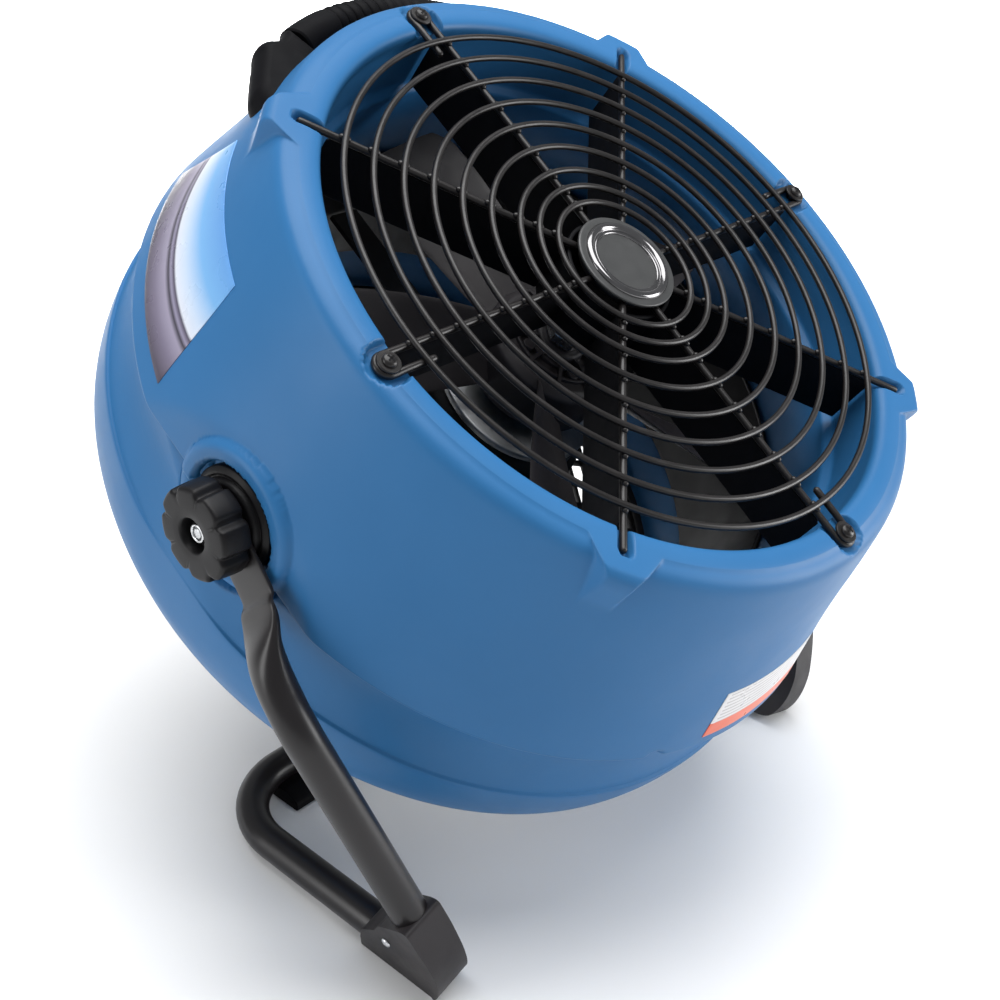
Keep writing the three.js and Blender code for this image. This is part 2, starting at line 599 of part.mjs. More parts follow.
function knob() {
  const outline = new THREE.Shape();
  const steps = KNOB.lobes * 4;
  for (let k = 0; k < steps; k += 1) {
    const angle = (k / steps) * TURN;
    const radius = KNOB.radius - 1.6 + 1.6 * Math.cos(KNOB.lobes * angle);
    const point = [radius * Math.cos(angle), radius * Math.sin(angle)];
    if (k === 0) outline.moveTo(...point);
    else outline.lineTo(...point);
  }
  const body = new THREE.ExtrudeGeometry(outline, { depth: KNOB.to - KNOB.from, bevelEnabled: false })
    .rotateY(QUARTER).translate(KNOB.from, 0, 0);
  return cut(body, discX(5.3, 270, 310, 12), discX(11, KNOB.to - 9, 310, 16));
}

const knobBolt = () => joined(discX(5, 234, KNOB.to - 5, 12),
  discX(8, KNOB.to - 8.7, KNOB.to - 4, 12));

// The knobs and their bolts sit on the pivot axis and ride on the stand.
SIDES.forEach(([name, side]) => {
  place(fan, `friction_disc_${name}`, atPivot(frictionDisc()).scale(side, 1, 1), BLACK_PLASTIC);
  place(pivot, `clamp_knob_${name}`, knob().scale(side, 1, 1), BLACK_PLASTIC);
  place(pivot, `clamp_bolt_${name}`, knobBolt().scale(side, 1, 1), BRIGHT_STEEL);
});

// ---------------------------------------------------------------- stand
// Stand frame: x as the fan, y rearwards from the pivot, z up from the floor.
const standPoint = (x, y, z) => new THREE.Vector3(x, y, z);
const ARM_TOP = new THREE.Vector2(-84, PIVOT_HEIGHT - 96.6);
const V_POINT = new THREE.Vector2(-153, TUBE_HEIGHT);
const CROSS_Y = 88;

// Distance from the pivot along the flattened end, as a point of the stand frame.
function alongPlate(x, distance) {
  const down = new THREE.Vector2(ARM_TOP.x, ARM_TOP.y - PIVOT_HEIGHT).normalize();
  return standPoint(x, down.x * distance, PIVOT_HEIGHT + down.y * distance);
}

// Loops of points across a path, turned from one to the next without twist.
function tubeLoops(path, radius, firstNormal, sides = TUBE_SIDES) {
  let normal = firstNormal.clone();
  return path.map((at, i) => {
    const behind = path[Math.max(i - 1, 0)];
    const before = path[Math.min(i + 1, path.length - 1)];
    const along = before.clone().sub(behind).normalize();
    normal = normal.addScaledVector(along, -normal.dot(along)).normalize();
    return sectionLoop(at, normal, along.clone().cross(normal), radius, radius, sides);
  });
}

function sectionLoop(at, normal, across, thick, half, sides = TUBE_SIDES) {
  return Array.from({ length: sides }, (_, k) => {
    const angle = ((k + 0.5) / sides) * TURN;
    return at.clone().addScaledVector(normal, thick * Math.cos(angle))
      .addScaledVector(across, half * Math.sin(angle));
  });
}

// Half of the centre line, from the top of the left arm to the middle of the cross tube.
function halfPath() {
  const corner = (x, y, z, radius) => ({ at: standPoint(x, y, z), radius });
  const top = alongPlate(-ARM_X, 84);
  return roundedPath([
    corner(top.x, top.y, top.z, 0),
    corner(-ARM_X, ARM_TOP.x, ARM_TOP.y, 60),
    corner(-RUN_X, V_POINT.x, V_POINT.y, 25),
    corner(-RUN_X, CROSS_Y, TUBE_HEIGHT, 62),
    corner(0, CROSS_Y, TUBE_HEIGHT, 0),
  ]);
}

// The tube is pressed flat at its top end: a round-ended strip, a joggle and a flare.
// Each row: distance from the pivot, |x|, half thickness, half width.
const FLAT_END = [
  [-15, FLAT_X, 1.6, 3], [-12.5, FLAT_X, 2, 9], [-7, FLAT_X, 2, 13.5], [2, FLAT_X, 2, 15.4],
  [50, FLAT_X, 2, 15.4], [56, FLAT_X + 5, 2, 15.8], [62, FLAT_X + 5.5, 2.6, 16],
  [72, ARM_X - 5, 7.8, 15],
];

function standTube() {
  const outward = new THREE.Vector3(-1, 0, 0);
  const down = alongPlate(0, 1).sub(alongPlate(0, 0));
  const across = down.clone().cross(outward);
  const flat = FLAT_END.map(([distance, x, thick, half]) => sectionLoop(
    alongPlate(-x, distance), outward, across, thick, half));
  const left = [...flat, ...tubeLoops(halfPath(), TUBE_RADIUS, outward)];
  const right = left.slice(0, -1).reverse()
    .map((loop) => loop.map((p) => p.clone().setX(-p.x)));
  const holes = bothSides(() => discX(5.7, 250, 300, 10).translate(0, 0, PIVOT_HEIGHT));
  return cut(loft([...left, ...right]), ...holes);
}
place(stand, 'stand_tube', standTube(), BLACK_TUBE);

// Moulded boot round the sharp bend at the front of each floor run. The bend lies in a
// plane that leans outward with the arm.
const ARM_LEAN = Math.atan2(ARM_X - RUN_X, ARM_TOP.y - TUBE_HEIGHT);
const BOOT_HALF = TUBE_RADIUS + 2.9;

function frontBoot() {
  const side = new THREE.Shape();
  side.moveTo(-140, -30);
  [[-149, -16], [-155.5, -4], [-159, 9], [-159.3, 26], [-154.8, 45], [-146.6, 70], [-113, 66],
    [-111, 38], [-90, 19.5], [-84, 4], [-80, -30]].forEach(([y, w]) => {
    side.lineTo(y, w);
  });
  const body = new THREE.ExtrudeGeometry(side, { depth: 2 * BOOT_HALF, bevelEnabled: false })
    .translate(0, 0, -BOOT_HALF).rotateX(QUARTER).rotateZ(QUARTER)
    .scale(-1, 1, 1).rotateY(-ARM_LEAN).translate(-RUN_X, 0, TUBE_HEIGHT);
  const floor = block([-400, 400], [-300, 300], [-100, 0]);
  const tunnel = loft(tubeLoops(halfPath(), TUBE_RADIUS + GAP, new THREE.Vector3(-1, 0, 0)));
  return cut(body, floor, tunnel);
}

function rearFoot() {
  const pad = block([-170, -128], [CROSS_Y - 36, CROSS_Y + 15], [0, 14]);
  const tunnel = loft(tubeLoops(halfPath(), TUBE_RADIUS + GAP, new THREE.Vector3(-1, 0, 0)));
  return cut(pad, tunnel);
}

SIDES.forEach(([name, side]) => {
  place(stand, `front_boot_${name}`, frontBoot().scale(-side, 1, 1), GREY_PLASTIC);
  place(stand, `boot_rivet_${name}`, turnedX([[0, 0], [4, 0], [3, 1.6], [0, 2]], 10)
    .rotateY(ARM_LEAN).translate(RUN_X + BOOT_HALF + 10.1, -118, 42)
    .scale(side, 1, 1), BRIGHT_STEEL);
  place(stand, `rear_foot_${name}`, rearFoot().scale(-side, 1, 1), BLACK_RUBBER);
});

export default machine;
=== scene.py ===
import json
import math

import bmesh
import bpy
import numpy as np
from mathutils import Matrix, Vector


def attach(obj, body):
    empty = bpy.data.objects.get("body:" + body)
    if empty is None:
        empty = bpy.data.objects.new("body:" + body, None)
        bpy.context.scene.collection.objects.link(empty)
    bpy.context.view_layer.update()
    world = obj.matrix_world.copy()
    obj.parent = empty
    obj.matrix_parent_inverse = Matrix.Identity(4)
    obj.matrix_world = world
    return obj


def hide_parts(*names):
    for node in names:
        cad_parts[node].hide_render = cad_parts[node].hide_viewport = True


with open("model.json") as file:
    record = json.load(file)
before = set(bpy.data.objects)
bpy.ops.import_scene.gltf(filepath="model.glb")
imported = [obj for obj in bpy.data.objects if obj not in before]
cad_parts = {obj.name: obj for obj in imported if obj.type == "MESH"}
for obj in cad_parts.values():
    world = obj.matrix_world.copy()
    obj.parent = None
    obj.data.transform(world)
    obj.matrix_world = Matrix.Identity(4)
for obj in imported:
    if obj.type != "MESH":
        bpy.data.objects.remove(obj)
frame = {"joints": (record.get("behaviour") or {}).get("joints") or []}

# ---- frame
# Fan frame, in millimetres: x right seen from the outlet, y rearwards along the fan axis,
# z towards the handle. Stand frame: x the same, y rearwards from the pivot, z up.
MM = 0.001
scene = bpy.context.scene
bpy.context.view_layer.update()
joints = {j["name"]: j for j in frame["joints"]}
AXIS_POINT = np.array(joints["propeller_spin"]["pos_m"])
AXIS = np.array(joints["propeller_spin"]["axis"])
AXIS = AXIS / np.linalg.norm(AXIS)
ACROSS = np.array([1.0, 0, 0])
UP = np.cross(ACROSS, AXIS)
PIVOT = np.array(joints["housing_tilt"]["pos_m"])
PIVOT_Y, PIVOT_Z = 145.0, -4.0
TAU = 2 * math.pi


def fan(points):
    p = np.asarray(points, float)
    return AXIS_POINT + MM * (p[..., 0:1] * ACROSS + (p[..., 1:2] - PIVOT_Y) * AXIS + p[..., 2:3] * UP)


def ground(points):
    p = np.asarray(points, float)
    return MM * p + np.array([0.0, PIVOT[1], 0.0])


def drive(points):
    """The motor and propeller are drawn 50 mm behind their place."""
    return fan(np.asarray(points, float) - np.array([0.0, 50.0, 0.0]))


# ---- small maths
def smoothstep(value, low, high):
    t = np.clip((np.asarray(value, float) - low) / (high - low), 0, 1)
    return t * t * (3 - 2 * t)


def between(value, low, high, outer, inner):
    """1 from low to high and 0 outside, with soft edges."""
    return smoothstep(value, low - outer, low + inner) * (1 - smoothstep(value, high - inner, high + outer))


def smooth_min(a, b, k):
    h = np.clip(0.5 + 0.5 * (b - a) / k, 0, 1)
    return b * (1 - h) + a * h - k * h * (1 - h)


def smooth_max(a, b, k):
    return -smooth_min(-a, -b, k)


def unit(vector):
    return vector / np.linalg.norm(vector)


def softened(points, rounds=2):
    """An open line of points with its corners cut, and its ends kept."""
    line = np.asarray(points, float)
    for _ in range(rounds):
        a, b = line[:-1], line[1:]
        cut = np.empty((2 * len(a), line.shape[1]))
        cut[0::2], cut[1::2] = 0.75 * a + 0.25 * b, 0.25 * a + 0.75 * b
        line = np.vstack([line[:1], cut, line[-1:]])
    return line


def filleted(points, radius, steps=3, closed=True):
    """A line of 2-D points with each corner rounded by at most radius."""
    p = np.asarray(points, float)
    count = len(p)
    radii = np.broadcast_to(np.asarray(radius, float), (count,))
    out = []
    for i in range(count):
        if not closed and i in (0, count - 1):
            out.append(p[i])
            continue
        before, here, after = p[i - 1], p[i], p[(i + 1) % count]
        d0, d1 = before - here, after - here
        l0, l1 = np.linalg.norm(d0), np.linalg.norm(d1)
        reach = min(radii[i], 0.45 * l0, 0.45 * l1)
        if reach < 1e-6:
            out.append(here)
            continue
        start, end = here + d0 / l0 * reach, here + d1 / l1 * reach
        for k in range(steps + 1):
            t = k / steps
            out.append((1 - t) ** 2 * start + 2 * t * (1 - t) * here + t * t * end)
    return np.array(out)


# ---- mesh makers
def grid_faces(rows, columns, wrap_rows=False, wrap_columns=True):
    faces = []
    for i in range(rows if wrap_rows else rows - 1):
        a, b = i * columns, ((i + 1) % rows) * columns
        for k in range(columns if wrap_columns else columns - 1):
            n = (k + 1) % columns
            faces.append((a + k, a + n, b + n, b + k))
    return faces


def stacked(loops, closed=False):
    """A solid through loops of points, with a face over each end unless it closes on itself."""
    count, sides = len(loops), len(loops[0])
    faces = grid_faces(count, sides, wrap_rows=closed)
    if not closed:
        faces += [tuple(range(sides)), tuple(reversed(range((count - 1) * sides, count * sides)))]
    return np.vstack(loops), faces


def lathe(profile, segments=96, centre=(0.0, 0.0)):
    """A closed (radius, y) profile turned about the fan axis, or a line parallel to it."""
    profile = np.asarray(profile, float)
    angle = np.linspace(0, TAU, segments, endpoint=False)
    r, y = profile[:, 0:1], profile[:, 1:2]
    x = r * np.cos(angle) + centre[0]
    z = r * np.sin(angle) + centre[1]
    points = np.stack([x, np.broadcast_to(y, x.shape), z], -1).reshape(-1, 3)
    return points, grid_faces(len(profile), segments, wrap_rows=True)


def lathe_open(profile, segments=96, centre=(0.0, 0.0)):
    """The same, for a profile that starts and ends on the axis."""
    points, _ = lathe(profile, segments, centre)
    return points, grid_faces(len(profile), segments)


def spun(profile, edge, segments=96, centre=(0.0, 0.0)):
    """A profile with rounded corners turned about the fan axis. It closes on itself, or is solid
    where it starts and ends on the axis."""
    solid = profile[0][0] == 0
    line = filleted(profile, edge, 3, closed=not solid)
    return (lathe_open if solid else lathe)(line, segments, centre)


def ring_block(inner, outer, low, high, edge, segments=96):
    """A ring, or with no inner radius a disc, about the fan axis with rounded edges."""
    return spun([[inner, low], [outer, low], [outer, high], [inner, high]], edge, segments)


def turned_out(line, segments, closed=True):
    """A (radius, x) profile turned about the pivot axis."""
    points, faces = (lathe if closed else lathe_open)(line, segments)
    return np.stack([points[:, 1], points[:, 0] + PIVOT_Y, points[:, 2] + PIVOT_Z], -1), faces


def turned_up(line, segments, place, height=0.0, closed=True):
    """A (radius, height) profile turned about a line that stands on the control pad."""
    points, faces = (lathe if closed else lathe_open)(line, segments)
    return np.stack([points[:, 0] + place[0], points[:, 2] + place[1], points[:, 1] + height], -1), faces


def path_loops(path, section, normal, closed=False):
    """Loops along a path. section is (k, 2) points, or a function of the share 0 to 1."""
    path = np.asarray(path, float)
    count = len(path)
    along = np.roll(path, -1, 0) - np.roll(path, 1, 0) if closed else np.gradient(path, axis=0)
    along /= np.linalg.norm(along, axis=1, keepdims=True)
    normal = np.asarray(normal, float)
    loops = []
    for i in range(count):
        normal = unit(normal - along[i] * normal.dot(along[i]))
        across = np.cross(along[i], normal)
        s = section(i / max(count - 1, 1)) if callable(section) else section
        loops.append(path[i] + s[:, 0:1] * normal + s[:, 1:2] * across)
    return loops


def sweep(path, section, normal, closed=False):
    return stacked(path_loops(path, section, normal, closed), closed)


def circle(radius, sides=12, squash=1.0):
    a = np.linspace(0, TAU, sides, endpoint=False)
    return np.stack([radius * np.cos(a), radius * squash * np.sin(a)], -1)


def prism(outline, low, high):
    """An outline in the first two axes, from low to high in the third."""
    outline = np.asarray(outline, float)
    n = len(outline)
    bottom = np.column_stack([outline, np.full(n, low)])
    top = np.column_stack([outline, np.full(n, high)])
    faces = [tuple(range(n)), tuple(reversed(range(n, 2 * n)))]
    faces += [(k, (k + 1) % n, (k + 1) % n + n, k + n) for k in range(n)]
    return np.vstack([bottom, top]), faces


def cuboid(x, y, z):
    return prism([(x[0], y[0]), (x[1], y[0]), (x[1], y[1]), (x[0], y[1])], z[0], z[1])


def merged(*parts):
    points, faces, base = [], [], 0
    for p, f in parts:
        points.append(p)
        faces += [tuple(v + base for v in face) for face in f]
        base += len(p)
    return np.vstack(points), faces


def turned_to(part, degrees):
    """Turns a part modelled on the +X side to an angle seen from the outlet."""
    points, faces = part
    a = math.radians(degrees)
    x, y, z = np.asarray(points, float).T
    return np.stack([x * math.cos(a) - z * math.sin(a), y,
                     x * math.sin(a) + z * math.cos(a)], -1), faces


def moved(part, x=0.0, y=0.0, z=0.0):
    return part[0] + np.array([x, y, z]), part[1]


# ---- pieces
def piece(name, part, material, body="housing", slot=None, nodes=(), to_row=fan, sharp=40,
          bevel=0.0, bevel_steps=3, uv=None):
    """A named piece that rides on a CAD body. Its slot argument is not used."""
    points, faces = part
    mesh = bpy.data.meshes.new(name)
    mesh.from_pydata(to_row(points).tolist(), [], faces)
    work = bmesh.new()
    work.from_mesh(mesh)
    if uv is not None:
        work.verts.ensure_lookup_table()
        layer = work.loops.layers.uv.new("map")
        for face in work.faces:
            for loop in face.loops:
                loop[layer].uv = uv[loop.vert.index]
    bmesh.ops.remove_doubles(work, verts=work.verts, dist=2e-6)
    bmesh.ops.recalc_face_normals(work, faces=work.faces)
    work.to_mesh(mesh)
    work.free()
    mesh.polygons.foreach_set("use_smooth", [True] * len(mesh.polygons))
    if sharp:
        mesh.set_sharp_from_angle(angle=math.radians(sharp))
    mesh.materials.append(material)
    obj = bpy.data.objects.new(name, mesh)
    scene.collection.objects.link(obj)
    if bevel:
        soft = obj.modifiers.new("edges", "BEVEL")
        soft.width = bevel * MM
        soft.segments = bevel_steps
        soft.limit_method = "ANGLE"
        soft.angle_limit = math.radians(28)
        mesh.set_sharp_from_angle(angle=math.radians(180))
        obj.modifiers.new("normals", "WEIGHTED_NORMAL").keep_sharp = True
    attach(obj, body)
    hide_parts(*(nodes or (name,)))


def pair(name, part, material, body="housing", nodes=(), **options):
    """The same piece on the right and, mirrored, on the left. {} stands for the side's name."""
    for side_name, side in (("left", -1), ("right", 1)):
        piece(f"{name}_{side_name}", (part[0] * np.array([side, 1, 1]), part[1]), material,
              body.format(side_name), nodes=[node.format(side_name) for node in nodes], **options)


# ---- materials
def node_of(tree, kind, **inputs):
    made = tree.nodes.new(kind)
    for key, value in inputs.items():
        made.inputs[key.replace("_", " ")].default_value = value
    return made


def noise(tree, source, scale, detail=3.0):
    made = node_of(tree, "ShaderNodeTexNoise", Scale=scale, Detail=detail, Roughness=0.55)
    tree.links.new(source, made.inputs["Vector"])
    return made.outputs["Fac"]


def spread(tree, source, low, high):
    """The middle of a noise, drawn out to run from low to high."""
    made = node_of(tree, "ShaderNodeMapRange", From_Min=0.3, From_Max=0.7, To_Min=low, To_Max=high)
    tree.links.new(source, made.inputs["Value"])
    return made.outputs["Result"]


def ramp(tree, source, stops):
    made = tree.nodes.new("ShaderNodeValToRGB")
    bar = made.color_ramp.elements
    while len(bar) < len(stops):
        bar.new(0.5)
    for element, (at, colour) in zip(bar, stops):
        element.position = at
        element.color = (*colour, 1)
    tree.links.new(source, made.inputs["Fac"])
    return made.outputs["Color"]


def bumped(tree, shader, source, strength, distance, under=None):
    made = node_of(tree, "ShaderNodeBump", Strength=strength, Distance=distance)
    tree.links.new(source, made.inputs["Height"])
    if under is not None:
        tree.links.new(under, made.inputs["Normal"])
    tree.links.new(made.outputs["Normal"], shader.inputs["Normal"])
    return made.outputs["Normal"]


slot_of = {}


def surface(name, slot, dark, light, rough, metallic=0.0, patch=9.0, grain=900.0,
            grain_height=0.00006, wave=0.0, specular=0.5, coat=0.0, streak=None):
    """A moulded, painted or metal surface: patchy colour, uneven gloss and fine grain."""
    material = bpy.data.materials.new(name)
    slot_of[material.name] = slot
    material.use_nodes = True
    tree = material.node_tree
    shader = tree.nodes["Principled BSDF"]
    place = tree.nodes.new("ShaderNodeTexCoord").outputs["Object"]
    if streak:
        stretch = tree.nodes.new("ShaderNodeMapping")
        stretch.inputs["Scale"].default_value = streak
        tree.links.new(place, stretch.inputs["Vector"])
        place = stretch.outputs["Vector"]
    for key, value in (("Metallic", metallic), ("Specular IOR Level", specular),
                       ("Coat Weight", coat), ("Coat Roughness", 0.25)):
        shader.inputs[key].default_value = value
    colour = ramp(tree, noise(tree, place, patch, 4.0), [(0.32, dark), (0.68, light)])
    tree.links.new(colour, shader.inputs["Base Color"])
    gloss = spread(tree, noise(tree, place, patch * 3.1, 5.0), rough[0], rough[1])
    tree.links.new(gloss, shader.inputs["Roughness"])
    under = None
    if wave:
        under = bumped(tree, shader, noise(tree, place, 26.0, 2.0), 0.35, wave)
    bumped(tree, shader, noise(tree, place, grain, 2.0), 0.5, grain_height, under)
    return material


BLUE = surface("sky_blue_plastic", "blue_shell", (0.0205, 0.118, 0.283), (0.025, 0.131, 0.308),
               (0.38, 0.48), patch=5.0, grain=700.0, grain_height=0.00005, wave=0.0006,
               specular=0.22)
BLACK = surface("satin_black_plastic", "black_moulding", (0.004, 0.0037, 0.0044), (0.007, 0.0065, 0.0074),
                (0.36, 0.5), patch=12.0, grain=1100.0, specular=0.2)
WIRE = surface("black_coated_wire", "black_wire", (0.0075, 0.0066, 0.0066), (0.013, 0.0112, 0.0112),
               (0.28, 0.4), patch=30.0, grain=1400.0, grain_height=0.00004,
               specular=0.34, coat=0.04)
VANE = surface("matt_black_plastic", "black_moulding", (0.003, 0.003, 0.004), (0.0055, 0.0055, 0.0065),
               (0.5, 0.66), patch=10.0, grain=900.0, specular=0.12)
HUB_GREY = surface("hub_enamel", "hub_disc", (0.0275, 0.0285, 0.029), (0.0365, 0.0375, 0.038),
                   (0.34, 0.44), patch=40.0, grain=1500.0)
BEAD = surface("polished_bead", "hub_disc", (0.15, 0.148, 0.15), (0.21, 0.205, 0.21), (0.08, 0.16),
               metallic=1.0, patch=60.0, grain=1800.0, grain_height=0.00002)
GREY = surface("dark_grey_nylon", "grey_moulding", (0.015, 0.013, 0.0145), (0.023, 0.02, 0.022),
               (0.44, 0.58), patch=14.0, grain=1000.0, grain_height=0.00009, specular=0.28)
TUBE = surface("black_enamelled_tube", "black_tube", (0.0065, 0.0055, 0.0062), (0.011, 0.0092, 0.01),
               (0.27, 0.38), patch=8.0, grain=1200.0, grain_height=0.00005,
               wave=0.0002, specular=0.36)
RUBBER = surface("black_rubber", "black_rubber", (0.0026, 0.0026, 0.0034), (0.0048, 0.0048, 0.006),
                 (0.48, 0.64), patch=16.0, grain=1300.0, grain_height=0.0001, specular=0.06)
STEEL = surface("zinc_plated_steel", "bright_steel", (0.5, 0.51, 0.52), (0.66, 0.67, 0.68), (0.2, 0.36),
                metallic=1.0, patch=70.0, grain=1500.0, grain_height=0.00003)
CAST = surface("cast_aluminium", "motor_aluminium", (0.36, 0.37, 0.38), (0.47, 0.48, 0.49), (0.42, 0.6),
               metallic=1.0, patch=45.0, grain=650.0, grain_height=0.0002)
CORE = surface("laminated_steel", "motor_steel", (0.12, 0.12, 0.125), (0.19, 0.19, 0.195), (0.38, 0.55),
               metallic=1.0, patch=20.0, grain=800.0, grain_height=0.0001,
               streak=(1.0, 1.0, 9.0))
ENAMEL = surface("black_enamel", "motor_steel", (0.005, 0.005, 0.0058), (0.009, 0.009, 0.01),
                 (0.36, 0.5), patch=18.0, grain=900.0, grain_height=0.00008, specular=0.25)


def printed(name, draw):
    """A glossy film whose colours are drawn from the place across it."""
    material = bpy.data.materials.new(name)
    slot_of[material.name] = "printed_film"
    material.use_nodes = True
    tree = material.node_tree
    shader = tree.nodes["Principled BSDF"]
    shader.inputs["Specular IOR Level"].default_value = 0.5
    where = tree.nodes.new("ShaderNodeUVMap")
    where.uv_map = "map"
    split = tree.nodes.new("ShaderNodeSeparateXYZ")
    tree.links.new(where.outputs["UV"], split.inputs["Vector"])
    tree.links.new(draw(tree, split.outputs["X"], split.outputs["Y"]),
                   shader.inputs["Base Color"])
    place = tree.nodes.new("ShaderNodeTexCoord").outputs["Object"]
    tree.links.new(spread(tree, noise(tree, place, 40.0), 0.24, 0.38),
                   shader.inputs["Roughness"])
    bumped(tree, shader, noise(tree, place, 900.0, 2.0), 0.3, 0.00003)
    return material


def maths(tree, operation, a, b=0.0):
    made = tree.nodes.new("ShaderNodeMath")
    made.operation = operation
    for socket, value in zip(made.inputs, (a, b)):
        if isinstance(value, (int, float)):
            socket.default_value = value
        else:
            tree.links.new(value, socket)
    return made.outputs[0]


def mixed(tree, share, a, b):
    made = tree.nodes.new("ShaderNodeMix")
    made.data_type = "RGBA"
    sockets = {s.identifier: s for s in made.inputs}
    tree.links.new(share, sockets["Factor_Float"])
    for key, value in (("A_Color", a), ("B_Color", b)):
        if isinstance(value, tuple):
            sockets[key].default_value = (*value, 1)
        else:
            tree.links.new(value, sockets[key])
    return {s.identifier: s for s in made.outputs}["Result_Color"]


def decal_colours(tree, u, v):
    """A grey-violet sweep at the seam side, a white band, then light blue to the rim."""
    from_seam = maths(tree, "SUBTRACT", 1.0, v)
    off_middle = maths(tree, "SUBTRACT", u, 0.35)
    bend = maths(tree, "MULTIPLY", maths(tree, "POWER", off_middle, 2.0), 0.42)
    across = maths(tree, "SUBTRACT", from_seam, bend)
    return ramp(tree, across, [
        (0.00, (0.060, 0.050, 0.075)), (0.14, (0.150, 0.130, 0.190)),
        (0.27, (0.270, 0.245, 0.330)), (0.315, (0.030, 0.026, 0.040)),
        (0.345, (0.240, 0.220, 0.310)), (0.385, (0.055, 0.045, 0.075)),
        (0.41, (0.58, 0.61, 0.68)), (0.52, (0.48, 0.57, 0.70)),
        (0.72, (0.15, 0.36, 0.64)), (1.00, (0.10, 0.27, 0.58))])


def label_colours(tree, u, v):
    """White block with faint grey rules over an orange band."""
    rule = maths(tree, "PINGPONG", maths(tree, "MULTIPLY", v, 22.0), 1.0)
    ink = mixed(tree, maths(tree, "GREATER_THAN", rule, 0.66), (0.64, 0.63, 0.63),
                (0.36, 0.34, 0.34))
    margin = maths(tree, "GREATER_THAN", maths(tree, "ABSOLUTE", maths(tree, "SUBTRACT", u, 0.5)), 0.46)
    paper = mixed(tree, margin, ink, (0.64, 0.63, 0.63))
    band = maths(tree, "GREATER_THAN", v, 0.68)
    orange = ramp(tree, u, [(0.0, (0.68, 0.10, 0.03)), (1.0, (0.74, 0.13, 0.04))])
    return mixed(tree, band, paper, orange)


DECAL = printed("decal_film", decal_colours)
LABEL = printed("label_film", label_colours)


# ---- housing shape
FRONT_LINE = softened([[226, 1.2], [234.5, 2.6], [240, 6.5], [243, 16], [250, 40],
                       [257.5, 70], [266, 100], [276, 130], [284, 155]], 2)
REAR_LINE = np.vstack([
    [[270.5, 146], [270.5, 157.0]],
    softened([[271.5, 157.3], [273.8, 158.0], [274.2, 161], [273.3, 168], [273.6, 180], [277.6, 199],
              [282.4, 216.2]], 2),
    softened([[284.7, 217.4], [285.2, 219.5], [285.2, 230], [284.6, 242], [282, 258], [276, 272],
              [268, 286], [256, 300], [243, 309], [228, 315.5], [214, 316]], 3)])
SIDE_FLAT = 266.0
TAB_ANGLES = (45, 135, 225, 315)
SCREW_ANGLES = (0, 90, 180, 270)
SCREW_CIRCLE, SCREW_OFFSET = 224.0, 7.0
TRAY_HALF, TRAY_Y, TRAY_FLOOR = 100.0, (20.0, 68.0), 224.0
PAD_HALF, PAD_Y, PAD_TOP = 40.0, (224.0, 264.0), 286.0
SWITCH, BUTTON = np.array([-14.0, 244.0]), (22.0, 244.0)
POCKET_HALF, POCKET_FLOOR = (14.2, 11.2), 271.6
SEAT_X, COLLAR_X, COLLAR_MIDDLE, COLLAR_ROUND = 261.7, 271.5, 43.5, 7.0
TAB_TOP, TAB_HALF, TAB_SLOPE = 238.0, 9.0, 1.44
NOTCH_ANGLE, NOTCH_DEPTH, NOTCH_HALF = 250.2, 5.0, 5.0
SLOT_DEPTH, SLOT_END, SCREW_POCKET_DEPTH = 8.5, 229.5, 6.8
SHELL_ROWS = 120


def uneven_angles(coarse, fine_zones):
    """Angles round the shell in degrees, closer together in the zones (middle, half, step)."""
    scan = np.arange(0, 360, 0.02)
    step = np.full(len(scan), coarse)
    for middle, half, fine in fine_zones:
        away = np.abs((scan - middle + 180) % 360 - 180)
        near = 1 - smoothstep(away, half, half * 1.6 + 1)
        step = np.minimum(step, fine * near + coarse * (1 - near))
    total = np.cumsum(0.02 / step)
    return np.interp(np.linspace(0, total[-1], int(total[-1]) + 1)[:-1], total, scan)


def round_radius(radius, y, phi):
    """The shell's radius at an angle: a little less across the pivots behind the rim."""
    keep = 1 - 0.02 * smoothstep(y, 90, 200)
    return radius / np.sqrt((np.cos(phi) / keep) ** 2 + np.sin(phi) ** 2)


def at_angle(radius, y, phi):
    return np.stack([radius * np.cos(phi), y, radius * np.sin(phi)], -1).reshape(-1, 3)


def shell(rows, phi):
    """A wall that closes on itself, from rows of (radius, y) at each angle."""
    points = at_angle(np.array([r for r, _ in rows]), np.array([y for _, y in rows]), phi)
    return points, grid_faces(len(rows), len(phi), wrap_rows=True)


def near_side(phi, radius):
    """Distance of a surface point from the closer pivot axis end, seen along it."""
    return radius * np.sin(phi) - PIVOT_Z


def collar_height(distance):
    """x of the raised ring round the pivot, by distance from the pivot axis."""
    off_crown = np.clip(np.abs(distance - COLLAR_MIDDLE), 0, COLLAR_ROUND)
    crown = COLLAR_X - COLLAR_ROUND + np.sqrt(np.maximum(COLLAR_ROUND ** 2 - off_crown ** 2, 0))
    outside = np.where(distance > COLLAR_MIDDLE + COLLAR_ROUND - 0.1, 200.0, crown)
    return np.where(distance < COLLAR_MIDDLE, COLLAR_X, outside)


def tab_offset(phi):
    """Angle in radians from the nearest rim tab."""
    return phi % (math.pi / 2) - math.pi / 4


